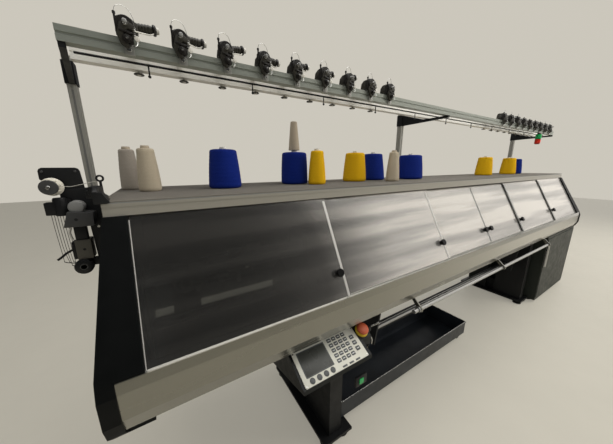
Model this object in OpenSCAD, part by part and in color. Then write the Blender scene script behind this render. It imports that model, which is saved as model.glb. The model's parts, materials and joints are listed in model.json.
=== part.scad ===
// Flat knitting machine with sliding windows, yarn shelf and overhead creel.
// X runs along the machine, the operator stands at -Y, Z is up from the floor.

/* [Machine] */
// Length of the front beam
machine_l = 4340; // [4200:10:4500]
// Height of the shelf surface above the floor
shelf_h = 1325; // [1300:5:1360]
// Depth of the yarn shelf
shelf_d = 550; // [520:5:600]
// Height of the top edge of the front beam
beam_top_h = 883; // [872:1:892]
// Height of the front beam
beam_h = 161; // [152:1:168]
// How far the front beam stands in front of the shelf edge
beam_out = 219; // [212:1:226]
// Wall of the front beam
beam_wall = 4; // [3:0.5:5]

/* [Windows] */
// Thickness of a window pane
pane_t = 5; // [4:0.5:6]
// Gap between two neighbouring window planes
pane_gap = 3; // [2.5:0.5:4]
// Length of the outer windows
pane_a_l = 740; // [700:10:780]
// Length of the second windows
pane_b_l = 845; // [830:5:860]
// Overlap of neighbouring windows
pane_lap = 40; // [30:5:50]
// Diameter of a window knob
knob_d = 36; // [30:1:42]
// Height of a window knob
knob_h = 24; // [18:1:30]
// Distance from a window's edge to its knob
knob_inset = 36; // [30:1:45]

/* [Knitting head] */
// Length of the needle beds
bed_l = 2900; // [2600:50:3100]
// Pitch of the needles shown
needle_pitch = 12; // [10:1:16]
// Gap between the two needle beds
bed_gap = 12; // [8:1:16]
// How far the needle bed edges lie below the shelf
bed_below = 385; // [375:5:395]
// Length of the carriage
carriage_l = 500; // [420:10:560]
// Place of the carriage centre at rest
carriage_x = -1290; // [-1400:10:-1200]
// Diameter of the belt pulleys
pulley_d = 80; // [60:2:90]
// Thickness of the drive belt
belt_t = 5; // [4:0.5:6]
// Number of yarn rails
yarn_rail_count = 4; // [4:1:4]
// Pitch of the yarn rails
yarn_rail_pitch = 32; // [30:1:33]

/* [Takedown] */
// Diameter of the rubber takedown roller
roller_d = 50; // [40:1:56]
// Diameter of the steel pressure roller
press_d = 28; // [24:1:32]
// Distance between the roller plates
roller_l = 1990; // [1900:10:2010]
// Diameter of the start bar
bar_d = 22; // [18:1:24]
// Height of the fabric tray wall
tray_h = 126; // [100:2:140]
// Length of the fabric tray
tray_l = 1340; // [1200:10:1400]

/* [Base] */
// Width of a pedestal column
pedestal_w = 78; // [70:1:90]
// Height of a levelling foot
foot_h = 25; // [20:1:35]
// Diameter of a levelling foot's pad
foot_d = 70; // [60:1:80]
// How far the control cabinet stops short of the beam's end
cabinet_inset = 30; // [20:5:60]

/* [Console] */
// Width of the key plate
plate_w = 325; // [310:5:330]
// Slant length of the key plate
plate_l = 138; // [130:1:145]
// Tilt of the console top from level
console_tilt = 28; // [24:1:32]
// Width of the display
screen_w = 128; // [110:1:132]
// Height of the display
screen_l = 94; // [86:1:96]
// Diameter of the stop button
stop_d = 58; // [50:1:60]

/* [Creel] */
// Width of a creel post
post_w = 30; // [28:1:34]
// Depth of a creel post
post_d = 45; // [40:1:50]
// Height of the creel posts' tops
post_top_h = 1868; // [1860:2:1890]
// How far an outer post stands outside the end of the beam
post_out = 100; // [95:1:120]
// How far the overhead rails stop short of the outer posts
creel_short = 55; // [45:1:75]
// Height of the overhead rails
creel_rail_h = 44; // [40:1:50]
// Number of yarn tension units on each side
unit_count = 9; // [7:1:9]
// Pitch of the yarn tension units
unit_pitch = 157; // [150:1:160]

/* [Side feeder] */
// Diameter of the feed wheel
feed_wheel_d = 58; // [52:1:64]

/* [Yarn] */
// Height of a wound cone
cone_h = 172; // [150:1:190]

/* [Hidden] */
$fn = 48;

// Running gap between parts that move past each other
run_gap = 0.3;
// Radial clearance of a turning fit
fit_gap = 0.05;

// Levels and depths of the case
mat_t = 6;
mat_rib = 2;
rib_pitch = 14;
deck_t = 3;
rail_d = 46;
rail_h = 38;
rail_out = 4;
rail_top = shelf_h - mat_t - deck_t;
rail_bottom = rail_top - rail_h;
deck_flange = 46;
beam_half = machine_l / 2;
shelf_half = beam_half - 8;
inner_half = beam_half - 65;
cap_out = 40;
cap_back = shelf_d - 4;
cap_taper_h = 900;
cap_top_x = beam_half - 10;
seat_h = beam_top_h - 19;
track_d = 44;
beam_bottom = beam_top_h - beam_h;
beam_flange = 44;
girder_h = 75;
bed_top_h = shelf_h - bed_below;
girder_top = bed_top_h - 195;
girder_bottom = girder_top - girder_h;
girder_front_d = 150;
girder_rear_d = 220;
girder_wall = 8;
cover_low = 650;
end_t = 12;

// Window planes: local x points inward, local y up the slope
win_top = shelf_h - 35;
win_run = beam_out - 5;
win_drop = win_top - (beam_top_h - 2);
win_tilt = atan2(win_run, win_drop);
win_len = norm([win_run, win_drop]);
pane_first = 8;
pane_floor = seat_h + 4;
pane_ceiling = win_top + 2;
function pane_in(i) = pane_first + i * (pane_t + pane_gap);
function pane_low(i) = (pane_floor - win_top + (pane_in(i) + pane_t) * sin(win_tilt)) / cos(win_tilt);
function pane_high(i) = (pane_ceiling - win_top + pane_in(i) * sin(win_tilt)) / cos(win_tilt);
// Where the window plane, moved outward by out, passes height z
function face_y(z, out) = (z - win_top) * tan(win_tilt) - out / cos(win_tilt);
knob_up = 108;
stud_d = 10;

// Ends of the windows of the left half
a_start = 0.5 - inner_half;
a_end = a_start + pane_a_l;
b_start = a_end - pane_lap;
b_end = b_start + pane_b_l;
c_start = b_end - pane_lap;
c_end = -2;

// Knitting head: the beds meet above bed_y
bed_y = 40;
girder_gap = 80;
rib_h = 4;
rib_w = 4;
bed_drop = 134;
bed_web = 36;
comb_start = 4;
slope_unit = sqrt(0.5);
apex_y = bed_y - bed_gap / 2;
function on_bed(down, off) = [apex_y - (down + off) * slope_unit, bed_top_h - (down - off) * slope_unit];
rail_w = 28;
rail_rise = 30;
rail_side = 172;
shoe_in = 24;
shoe_out = 22;
cam_gap = 12;
cam_high = 85;
yarn_rail_w = 14;
yarn_rail_low = shelf_h - 291;
yarn_rail_rise = 30;
feeder_w = 24;
feeder_l = 60;
feeder_low = shelf_h - 325;
feeder_high = shelf_h - 233;
feeder_tip = bed_top_h + 10;
feeder_step = 80;
arch_low = bed_top_h + 10;
arch_in_h = shelf_h - 220;
arch_t = 25;
belt_y = 262;
belt_w = 20;
belt_z = girder_top + 155;
belt_half = inner_half - 145;
feeder_first = -belt_half;
axle_d = 20;
flange_t = 3.5;
bracket_y = 288;
bracket_t = 12;

// Base, its left end first
left_base_x = 715 - beam_half;
base_w = 180;
base_front = -157;
base_back = 430;
base_t = 16;
column_y = -130;
column_d = 240;
column_in = 47;
rear_column_y = 190;
rear_column_d = 110;

// Takedown and tray
roller_x = left_base_x + 435;
roller_y = 36;
roller_z = 395;
nip_gap = 0.6;
journal_d = 16;
plate_t = 10;
nip_turn = 44;
nip_reach = (roller_d + press_d) / 2 + nip_gap;
press_y = roller_y - nip_reach * cos(nip_turn);
press_z = roller_z + nip_reach * sin(nip_turn);
bar_y = -235;
bar_z = 669;
bar_x0 = roller_x + 76;
bar_bend = 40;
bar_drop = 240;
bar_plate_t = 8;
tray_x = left_base_x + 130;
tray_y = -100;
tray_d = 330;
sheet_t = 3;

// Right pedestal, cabinet and what ends beside them
right_base_x = roller_x + roller_l + plate_t + 70;
cabinet_x = right_base_x + base_w + 10;
cabinet_w = beam_half - cabinet_inset - cabinet_x;
bar_x1 = cabinet_x - 40;
bar_plates = [bar_x0 + 44, (bar_x0 + bar_x1) / 2 + 2, bar_x1 - 50];
gussets = [90 - beam_half, left_base_x + 315, roller_x + 620, roller_x + 1360, right_base_x + 30];
cabinet_front = -212;
cabinet_fascia = 44;
cabinet_back = 430;

// Console
console_y = bed_y - girder_gap / 2 - girder_front_d;
console_z = girder_bottom;
console_x = left_base_x - 191;
console_l = 354;
console_lip = 16;
console_low = console_z - 181;
console_back = 67;
plate_rise = 4;
plate_x = console_x + 11;
stop_box_w = 58;
stop_box_l = 72;
stop_x = console_x + console_l + 22;
stop_up = -stop_d / 2 - 7;

// Creel
post_x = beam_half + post_out;
creel_l = 2 * (post_x - creel_short);
post_y = shelf_d + 5 + post_d / 2;
mid_post_x = -130;
sleeve_t = 4;
arm_top = 1783;
arm_front = 160;
arm_turn = 9;
front_rail_y = 180;
rear_rail_y = 325;
creel_rail_w = 36;
unit_first = creel_l / 2 - 176 - (unit_count - 1) * unit_pitch;
lamp_x = creel_l / 2 - 415;
hook_pitch = (creel_l / 2 - 225) / 5;

// Side feeder
feed_x = -beam_half - 135;
feed_y = 160;
feed_z = shelf_h + 35;
feed_axle = 12;
feed_w = 38;
mast_y = 205;
mast_t = 34;
feed_plate_out = 168;

// Cones as [distance from the left end of the beam, or minus that from the right end,
// depth, lower diameter, upper diameter, extra height]
blue_places = [[430, 275, 146, 120, 0], [832, 330, 150, 138, 0], [1490, 360, 170, 130, 8],
               [1818, 290, 190, 160, 3], [-450, 330, 160, 130, 0]];
yellow_places = [[912, 218, 97, 70, 5], [1271, 309, 150, 122, 7], [-1291, 300, 150, 122, 7],
                 [-701, 300, 150, 122, 7]];
pale_places = [[58, 420, 76, 58, -2], [130, 289, 82, 62, -4], [1472, 165, 84, 58, 10]];
paper_cone_h = 150;

// Middle of the outline, which stands at the origin
x_low = -beam_half - feed_plate_out;
x_high = post_x + post_w / 2 + sleeve_t;
y_low = console_y - (plate_l + 4) * cos(console_tilt) - 3;
y_high = post_y + post_d / 2 + sleeve_t;
mid_x = (x_low + x_high) / 2;
mid_y = (y_low + y_high) / 2;

// Draws a profile given in (Y, Z) from x0 to x1
module along_x(x0, x1) {
    translate([x0, 0, 0]) rotate([90, 0, 90]) linear_extrude(height = x1 - x0) children();
}
// Draws a profile given in (X, Z) from y0 to y1
module along_y(y0, y1) {
    translate([0, y1, 0]) rotate([90, 0, 0]) linear_extrude(height = y1 - y0) children();
}
module box(lo, hi) {
    translate(lo) cube(hi - lo);
}
// A cylinder with its axis along Y
module rod_y(x, z, y0, y1, d) {
    translate([x, y1, z]) rotate([90, 0, 0]) cylinder(h = y1 - y0, d = d);
}
// A cylinder with its axis along X
module rod_x(y, z, x0, x1, d) {
    translate([x0, y, z]) rotate([0, 90, 0]) cylinder(h = x1 - x0, d = d);
}
// Places children on the outer face of window i: z runs up the slope, -y outward
module on_window(i, x, up) {
    translate([x, 0, win_top]) rotate([-win_tilt, 0, 0]) translate([0, pane_in(i), up - win_len]) children();
}
module window_profile() {
    translate([0, win_top]) rotate(-win_tilt) children();
}
module over_bed() {
    translate([0, 2 * bed_y, 0]) mirror([0, 1, 0]) children();
}

// Welded pedestal: a base plate, a front and a rear column under the girders
module pedestal(x) {
    top = foot_h + base_t;
    color("#1b1c1e") union() {
        box([x, base_front, foot_h], [x + base_w, base_back, top]);
        box([x + column_in, column_y, top], [x + column_in + pedestal_w, column_y + column_d, girder_bottom]);
        box([x + column_in, rear_column_y, top],
            [x + column_in + pedestal_w, rear_column_y + rear_column_d, girder_bottom]);
        along_x(x + column_in + pedestal_w / 2 - 5, x + column_in + pedestal_w / 2 + 5)
            polygon([[column_y + column_d, top], [rear_column_y, top], [rear_column_y, top + 120],
                     [column_y + column_d, top + 120]]);
    }
}
module pedestals() {
    pedestal(left_base_x);
    pedestal(right_base_x);
}

// One screw foot: a round pad and its stem
module foot(x, y, top) {
    translate([x, y, 0]) cylinder(h = 10, d = foot_d);
    translate([x, y, 10]) cylinder(h = top - 10, d = 18);
}
module levelling_feet() {
    color("#3a3b3d") for (x = [left_base_x, right_base_x], fx = [40, base_w - 40])
        for (y = [base_front + 42, base_back - 42]) foot(x + fx, y, foot_h);
    color("#3a3b3d") for (x = [cabinet_x + 60, cabinet_x + cabinet_w - 60])
        for (y = [cabinet_front + 80, cabinet_back - 60]) foot(x, y, foot_h);
}

// A square tube seen in (Y, Z)
module tube_profile(y, d) {
    difference() {
        translate([y, girder_bottom]) square([d, girder_h]);
        translate([y + girder_wall, girder_bottom + girder_wall])
            square([d - 2 * girder_wall, girder_h - 2 * girder_wall]);
    }
}
// A plate that ties the front beam to the girder
module beam_gusset(x) {
    front = bed_y - girder_gap / 2 - girder_front_d;
    flange = beam_flange - beam_out;
    along_x(x, x + 8)
        polygon([[front, girder_bottom + 20], [front, girder_top - 7], [front - 10, girder_top],
                 [front - 26, seat_h - beam_wall], [front - 48, seat_h - beam_wall],
                 [front - 48, beam_bottom + beam_wall], [flange + 0.5, beam_bottom + beam_wall],
                 [flange + 0.5, beam_bottom - 10]]);
}
module roller_plate(x) {
    difference() {
        along_x(x, x + plate_t)
            polygon([[-50, roller_z - 30], [60, roller_z - 30], [70, girder_bottom], [-90, girder_bottom]]);
        rod_x(roller_y, roller_z, x - 1, x + plate_t + 1, journal_d + 2 * fit_gap);
        rod_x(press_y, press_z, x - 1, x + plate_t + 1, journal_d + 2 * fit_gap);
    }
}
module pulley_bracket(x, hole) {
    difference() {
        along_y(bracket_y, bracket_y + bracket_t)
            polygon([[x - 60, girder_top], [x + 60, girder_top], [x + 60, belt_z + 30], [x + 35, belt_z + 60],
                     [x - 35, belt_z + 60], [x - 60, belt_z + 30]]);
        rod_y(x, belt_z, bracket_y - 1, bracket_y + bracket_t + 1, hole);
    }
}
// Two box girders side by side, with the slot for the fabric between them
module bed_girders() {
    front = bed_y - girder_gap / 2 - girder_front_d;
    rear = bed_y + girder_gap / 2;
    half = inner_half - end_t;
    color("#26282a") along_x(-half, half) tube_profile(front, girder_front_d);
    color("#26282a") along_x(-half, half) tube_profile(rear, girder_rear_d);
}
// End frames that close the girders and carry the yarn rails, and the gussets of the beam
module frame_plates() {
    front = bed_y - girder_gap / 2 - girder_front_d;
    rear = bed_y + girder_gap / 2 + girder_rear_d;
    side = yarn_rail_pitch * yarn_rail_count / 2 + 8;
    high = yarn_rail_low + yarn_rail_rise + 14;
    color("#26282a") for (s = [0, 1]) mirror([s, 0, 0]) along_x(inner_half - end_t, inner_half)
        polygon([[front, girder_bottom], [rear, girder_bottom], [rear, girder_top],
                 [bed_y + side, girder_top], [bed_y + side, high], [bed_y - side, high],
                 [bed_y - side, girder_top], [front, girder_top]]);
    color("#26282a") for (x = gussets) beam_gusset(x);
}
module roller_plates() {
    color("#26282a") roller_plate(roller_x);
    color("#26282a") roller_plate(roller_x + roller_l);
}
// Brackets of the belt pulleys, the left one with the pin its pulley turns on
module pulley_brackets() {
    color("#26282a") union() {
        pulley_bracket(-belt_half, axle_d);
        rod_y(-belt_half, belt_z, belt_y - 8, bracket_y + bracket_t, axle_d);
        rod_y(-belt_half, belt_z, belt_y - 14, belt_y - 8, axle_d + 10);
    }
    color("#26282a") pulley_bracket(belt_half, axle_d + 6);
}

// Extruded front beam: lip, upper facet, main face, lower facet and bottom flange
function beam_profile(y, b, w) =
    [[y + 49, seat_h], [y + w, seat_h], [y + w, beam_top_h], [y, beam_top_h], [y - 6, beam_top_h - 31],
     [y - 4, b + 48], [y + 14, b], [y + beam_flange, b], [y + beam_flange, b + w],
     [y + w + 12.8, b + w], [y + w - 4, b + 48.6], [y + w - 6, beam_top_h - 31],
     [y + w - 3.2, seat_h - w], [y + 49, seat_h - w]];
// Hanger under the beam with the bore for the start bar
module bar_hanger(x) {
    r = bar_d / 2 + 8;
    difference() {
        union() {
            rod_x(bar_y, bar_z, x, x + bar_plate_t, 2 * r);
            along_x(x, x + bar_plate_t)
                polygon([[bar_y - r * 0.8, bar_z + r * 0.6], [-beam_out + 16, beam_bottom],
                         [-beam_out + 42, beam_bottom], [bar_y + r * 0.9, bar_z + r * 0.45]]);
        }
        rod_x(bar_y, bar_z, x - 1, x + bar_plate_t + 1, bar_d + 2 * fit_gap);
    }
}
module bar_hangers() { color("#b4b6b3") for (x = bar_plates) bar_hanger(x); }
module front_beam() {
    color("#b4b6b3") along_x(-beam_half, beam_half)
        polygon(beam_profile(-beam_out, beam_bottom, beam_wall));
}

// Side profile of an end cap; the inner part stops behind the beam
module cap_profile(inner) {
    top_y = face_y(rail_bottom, 4);
    front = inner ? [[beam_wall + run_gap - beam_out, seat_h + 24], [beam_wall + run_gap - beam_out, seat_h],
                     [53 - beam_out, seat_h], [53 - beam_out, girder_bottom]]
                  : [[face_y(beam_top_h + 4, 4), beam_top_h + 4], [-beam_out - 10, beam_top_h - 31],
                     [-beam_out - 9, beam_bottom + 46], [-beam_out + 9, beam_bottom - 4],
                     [53 - beam_out, girder_bottom]];
    polygon(concat([[top_y, rail_bottom]], front,
                   [[cap_back, girder_bottom], [cap_back, rail_top], [rail_d - rail_out, rail_top],
                    [rail_d - rail_out, rail_bottom]]));
}
// Moulded side housing, its outer face drawn in towards the top
module end_cap() {
    taper = atan2(beam_half + cap_out - cap_top_x, rail_top - cap_taper_h);
    difference() {
        union() {
            along_x(inner_half, beam_half) cap_profile(true);
            along_x(beam_half, beam_half + cap_out) cap_profile(false);
        }
        translate([beam_half + cap_out, -400, cap_taper_h]) rotate([0, -taper, 0]) cube([200, 1200, 600]);
        translate([beam_half + cap_out - 3, 60, girder_bottom + 60]) cube([10, cap_back - 120, 6]);
        translate([beam_half + cap_out - 3, 60, cap_taper_h - 40]) cube([10, cap_back - 120, 6]);
    }
}
module end_caps() { color("#222426") for (s = [0, 1]) mirror([s, 0, 0]) end_cap(); }

// Folded sheet shelf and the ribbed mat on it
module shelf_deck() {
    color("#8b8d8c") along_x(-shelf_half, shelf_half)
        polygon([[-rail_out, rail_top], [cap_back, rail_top], [cap_back, rail_top - deck_flange],
                 [cap_back + 3, rail_top - deck_flange], [cap_back + 3, rail_top + deck_t],
                 [-rail_out, rail_top + deck_t]]);
}
module shelf_mat() {
    low = rail_top + deck_t;
    n = floor(shelf_d / rib_pitch);
    ribs = [for (i = [0 : n - 1], p = [[0, 0], [4, 0], [5, -mat_rib], [rib_pitch - 1, -mat_rib]])
            [shelf_d - 1 - i * rib_pitch - p[0], shelf_h + p[1]]];
    color("#5b5650") along_x(-shelf_half, shelf_half)
        polygon(concat([[-rail_out, low], [shelf_d - 1, low]], ribs, [[-rail_out, shelf_h - mat_rib]]));
}

// Profile of pane i, from the groove in the track to the groove in the rail
module pane_profile(i) {
    window_profile() translate([pane_in(i), pane_low(i)]) square([pane_t, pane_high(i) - pane_low(i)]);
}
module groove_profile(i, low, high) {
    window_profile() translate([pane_in(i) - run_gap, low]) square([pane_t + 2 * run_gap, high - low]);
}
module shelf_rail() {
    color("#a9a9a4") difference() {
        along_x(-shelf_half, shelf_half) translate([-rail_out, rail_bottom]) square([rail_d, rail_h]);
        along_x(-inner_half, inner_half) for (i = [0 : 2]) groove_profile(i, -40, pane_high(i) + run_gap);
        along_x(-shelf_half - 1, shelf_half + 1) translate([-rail_out - 1, rail_top - 15]) square([2.5, 5]);
    }
}
module door_track() {
    color("#8f918f") difference() {
        along_x(-inner_half, inner_half)
            translate([beam_wall + run_gap - beam_out, seat_h]) square([track_d, 18]);
        along_x(-inner_half - 1, inner_half + 1)
            for (i = [0 : 2]) groove_profile(i, pane_low(i) - run_gap, pane_low(i) + 60);
    }
}

// Clear sliding window i between x0 and x1, with the hole for its knob
module pane(i, x0, x1, knob_x) {
    color("#9aa3a6", 0.45) difference() {
        along_x(x0, x1) pane_profile(i);
        on_window(i, knob_x, knob_up) translate([0, pane_t + 1, 0]) rotate([90, 0, 0])
            cylinder(h = pane_t + 2, d = stud_d);
    }
}
a_knob = a_end - knob_inset;
b_knob = b_end - knob_inset - 9;
c_knob = c_end - knob_inset;
module door_a_left() { pane(0, a_start, a_end, a_knob); }
module door_b_left() { pane(1, b_start, b_end, b_knob); }
module door_c_left() { pane(2, c_start, c_end, c_knob); }
module door_c_right() { mirror([1, 0, 0]) door_c_left(); }
module door_b_right() { mirror([1, 0, 0]) door_b_left(); }
module door_a_right() { mirror([1, 0, 0]) door_a_left(); }

// Turned knob with a waisted neck, its stud through the pane
module knob(i, x) {
    r = knob_d / 2;
    color("#151515") on_window(i, x, knob_up) rotate([90, 0, 0]) rotate_extrude()
        polygon([[0, -pane_t], [stud_d / 2, -pane_t], [stud_d / 2, 0], [r * 0.72, 0],
                 [r * 0.62, knob_h * 0.3], [r * 0.94, knob_h * 0.48], [r, knob_h * 0.62],
                 [r, knob_h * 0.86], [r * 0.9, knob_h], [0, knob_h]]);
}
module knob_a_left() { knob(0, a_knob); }
module knob_b_left() { knob(1, b_knob); }
module knob_c_left() { knob(2, c_knob); }
module knob_c_right() { mirror([1, 0, 0]) knob_c_left(); }
module knob_b_right() { mirror([1, 0, 0]) knob_b_left(); }
module knob_a_right() { mirror([1, 0, 0]) knob_a_left(); }

// Sheet cover at the back with rows of cooling slots
module rear_cover() {
    slot_l = 130;
    color("#3b3e40") difference() {
        box([-shelf_half, cap_back, cover_low], [shelf_half, cap_back + 3, rail_top - deck_flange]);
        for (x = [-1700, -750, 550, 1500], k = [0 : 5])
            translate([x, cap_back - 1, 780 + k * 26]) cube([slot_l, 5, 9]);
    }
}

// Control cabinet under the right end, with a raised front door and a vent grille
module control_cabinet() {
    x1 = cabinet_x + cabinet_w;
    fascia = cabinet_front + cabinet_fascia;
    color("#77807a") difference() {
        union() {
            box([cabinet_x, cabinet_front, foot_h], [x1, fascia, beam_bottom]);
            box([cabinet_x, fascia, foot_h], [x1, cabinet_back, girder_bottom]);
            box([cabinet_x + 14, cabinet_front - 4, foot_h + 30], [x1 - 14, cabinet_front, beam_bottom - 24]);
        }
        for (k = [0 : 9]) translate([cabinet_x - 1, 60, 180 + k * 22]) cube([5, 200, 8]);
        translate([cabinet_x + 38, cabinet_front - 5, 400]) cube([22, 4, 70]);
    }
}

// Folded sheet trough that catches the fabric, with a hem along its edges
module fabric_tray() {
    low = foot_h + base_t;
    hem = 7;
    color("#2a2c2f") union() {
        difference() {
            along_x(tray_x, tray_x + tray_l)
                polygon([[tray_y, low + 20], [tray_y + 12, low], [tray_y + tray_d - 12, low],
                         [tray_y + tray_d, low + 20], [tray_y + tray_d, low + tray_h],
                         [tray_y, low + tray_h]]);
            along_x(tray_x + sheet_t, tray_x + tray_l - sheet_t)
                polygon([[tray_y + sheet_t, low + 21], [tray_y + 13, low + sheet_t],
                         [tray_y + tray_d - 13, low + sheet_t], [tray_y + tray_d - sheet_t, low + 21],
                         [tray_y + tray_d - sheet_t, low + tray_h + 1],
                         [tray_y + sheet_t, low + tray_h + 1]]);
        }
        for (y = [tray_y - hem + sheet_t, tray_y + tray_d - sheet_t])
            box([tray_x, y, low + tray_h - hem], [tray_x + tray_l, y + hem, low + tray_h]);
        for (y = [tray_y + 30, tray_y + tray_d - 60])
            box([tray_x + tray_l - 40, y, 0], [tray_x + tray_l - 10, y + 30, low]);
    }
}

// One needle bed: a wedge on the girder, its upper face combed with needles
module needle_bed() {
    n = floor((bed_l - 40) / needle_pitch);
    x0 = -(n - 1) * needle_pitch / 2;
    front = apex_y - bed_drop;
    comb = [for (i = [0 : n - 1], p = [[-1, 0], [-1, 1], [1, 1], [1, 0]])
            [x0 + i * needle_pitch + p[0] * rib_w / 2, p[1] * rib_h]];
    union() {
        along_x(-bed_l / 2, bed_l / 2)
            polygon([[apex_y, bed_top_h], [front, bed_top_h - bed_drop], [front, girder_top],
                     [bed_y - girder_gap / 2, girder_top], [bed_y - girder_gap / 2, bed_top_h - 70],
                     [apex_y, bed_top_h - bed_web]]);
        translate([0, apex_y, bed_top_h]) rotate([135, 0, 0]) translate([0, 0, comb_start])
            linear_extrude(height = bed_drop / slope_unit - comb_start)
            polygon(concat([[-bed_l / 2, -3], [-bed_l / 2, 0]], comb, [[bed_l / 2, 0], [bed_l / 2, -3]]));
    }
}
module needle_beds() {
    color("#8d9094") needle_bed();
    color("#8d9094") over_bed() needle_bed();
}

// Guide rail of the carriage, seated on the girder
module carriage_rail() {
    y = bed_y - rail_side;
    rail_half = inner_half - 5;
    along_x(-rail_half, rail_half)
        polygon([[y - rail_w / 2, girder_top], [y + rail_w / 2, girder_top],
                 [y + rail_w / 2, girder_top + rail_rise - 2], [y + rail_w / 2 - 2, girder_top + rail_rise],
                 [y - rail_w / 2 + 2, girder_top + rail_rise], [y - rail_w / 2, girder_top + rail_rise - 2]]);
}
module carriage_rails() {
    color("#c3c6c8") carriage_rail();
    color("#c3c6c8") over_bed() carriage_rail();
}

// Half of the carriage: a cam box over one bed, with a shoe on its rail
module cam_box() {
    y = bed_y - rail_side;
    foot_z = girder_top + 7;
    x0 = carriage_x - carriage_l / 2;
    difference() {
        along_x(x0, x0 + carriage_l)
            polygon([on_bed(20, cam_gap), on_bed(182, cam_gap), [y + shoe_in, girder_top + 55],
                     [y + shoe_in, foot_z], [y - shoe_out, foot_z], [y - shoe_out, girder_top + 122],
                     [y - shoe_out + 6, girder_top + 132], on_bed(26, cam_high), on_bed(20, cam_high - 6)]);
        along_x(x0 - 1, x0 + carriage_l + 1)
            translate([y - rail_w / 2 - run_gap, foot_z - 1])
            square([rail_w + 2 * run_gap, girder_top + rail_rise + run_gap - foot_z + 1]);
        for (k = [0 : 11]) translate([x0 + 26 + k * 40, 0, 0])
            along_x(0, 8) polygon([on_bed(40, cam_high - 7), on_bed(120, cam_high - 7),
                                   on_bed(120, cam_high + 5), on_bed(40, cam_high + 5)]);
    }
}
// Motors that set the cams, in a row down the slope
module cam_motors() {
    for (k = [0 : 4], s = [58, 100])
        translate([carriage_x + (k - 2) * 80, on_bed(s, cam_high - 8)[0], on_bed(s, cam_high - 8)[1]])
            rotate([45, 0, 0]) cylinder(h = 22, d = 30);
}
// Portal that joins both halves over the yarn rails
module portal() {
    difference() {
        along_x(carriage_x - carriage_l * 0.4, carriage_x + carriage_l * 0.4)
            polygon([[bed_y - 103, arch_low], [bed_y - 82, arch_in_h + arch_t],
                     [bed_y + 82, arch_in_h + arch_t], [bed_y + 103, arch_low], [bed_y + 79, arch_low],
                     [bed_y + 62, arch_in_h], [bed_y - 62, arch_in_h], [bed_y - 79, arch_low]]);
        for (x = [-1, 0, 1]) translate([carriage_x + x * carriage_l * 0.25 - 42, bed_y - 45, arch_in_h - 1])
            cube([84, 90, arch_t + 2]);
    }
}
// Jaws that hold the upper run of the drive belt
module belt_clamp() {
    run_z = belt_z + pulley_d / 2 + run_gap;
    y = bed_y + rail_side + shoe_out;
    difference() {
        union() {
            box([carriage_x - 40, y - 12, girder_top + 110], [carriage_x + 40, y, run_z + 20]);
            box([carriage_x - 40, y - 12, run_z - 15], [carriage_x + 40, belt_y + belt_w + 3, run_z + 20]);
        }
        box([carriage_x - 41, belt_y - run_gap, run_z - run_gap],
            [carriage_x + 41, belt_y + belt_w + 4, run_z + belt_t + run_gap]);
    }
}
module carriage() {
    color("#6f757a") union() {
        cam_box();
        over_bed() cam_box();
        cam_motors();
        over_bed() cam_motors();
        portal();
        belt_clamp();
    }
}

// Closed belt around both pulleys
module belt_outline(r) {
    for (x = [-belt_half, belt_half]) translate([x, belt_z]) circle(r = r);
    translate([-belt_half, belt_z - r]) square([2 * belt_half, 2 * r]);
}
module drive_belt() {
    r = pulley_d / 2 + run_gap;
    color("#141414") along_y(belt_y, belt_y + belt_w) difference() {
        belt_outline(r + belt_t);
        belt_outline(r);
    }
}
// Flanged pulley about the Y axis
module pulley_body(x) {
    y0 = belt_y - 0.5;
    y1 = belt_y + belt_w + 0.5;
    rod_y(x, belt_z, y0, y1, pulley_d);
    rod_y(x, belt_z, y0 - flange_t, y0, pulley_d + 20);
    rod_y(x, belt_z, y1, y1 + flange_t, pulley_d + 20);
}
module pulley_left() {
    color("#a8abad") difference() {
        pulley_body(-belt_half);
        rod_y(-belt_half, belt_z, belt_y - 8, bracket_y, axle_d + 2 * fit_gap);
        for (a = [0 : 60 : 359]) translate([-belt_half, 0, belt_z]) rotate([0, a, 0])
            rod_y(25, 0, belt_y - 8, bracket_y, 12);
    }
}
module pulley_right() {
    color("#a8abad") union() {
        difference() {
            pulley_body(belt_half);
            for (a = [0 : 60 : 359]) translate([belt_half, 0, belt_z]) rotate([0, a, 0])
                rod_y(25, 0, belt_y - 8, bracket_y, 12);
        }
        rod_y(belt_half, belt_z, belt_y - 6, bracket_y + bracket_t + 40, axle_d);
    }
}
// Motor on the right bracket, ribbed, with the bore for the pulley's shaft
module drive_motor() {
    y = bracket_y + bracket_t;
    color("#2b2d30") difference() {
        union() {
            box([belt_half - 52, y, belt_z - 52], [belt_half + 52, y + 12, belt_z + 52]);
            rod_y(belt_half, belt_z, y + 12, y + 150, 88);
            for (k = [0 : 5]) rod_y(belt_half, belt_z, y + 28 + k * 18, y + 36 + k * 18, 100);
            box([belt_half - 28, y + 40, belt_z + 40], [belt_half + 28, y + 110, belt_z + 72]);
        }
        rod_y(belt_half, belt_z, y - 1, y + 45, axle_d + 2 * fit_gap);
    }
}

// Bars that carry the yarn feeders, with a groove in each side
function yarn_rail_y(i) = bed_y + (i - (yarn_rail_count - 1) / 2) * yarn_rail_pitch;
module yarn_bar(i) {
    y = yarn_rail_y(i);
    w = yarn_rail_w / 2;
    z = yarn_rail_low;
    h = yarn_rail_rise;
    polygon([[y - w, z], [y + w, z], [y + w, z + h * 0.4], [y + w - 2, z + h * 0.45],
             [y + w - 2, z + h * 0.6], [y + w, z + h * 0.65], [y + w, z + h], [y - w, z + h],
             [y - w, z + h * 0.65], [y - w + 2, z + h * 0.6], [y - w + 2, z + h * 0.45],
             [y - w, z + h * 0.4]]);
}
module yarn_rails() {
    half = inner_half - end_t;
    color("#c9cbc9") for (i = [0 : yarn_rail_count - 1]) along_x(-half, half) yarn_bar(i);
}
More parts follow.
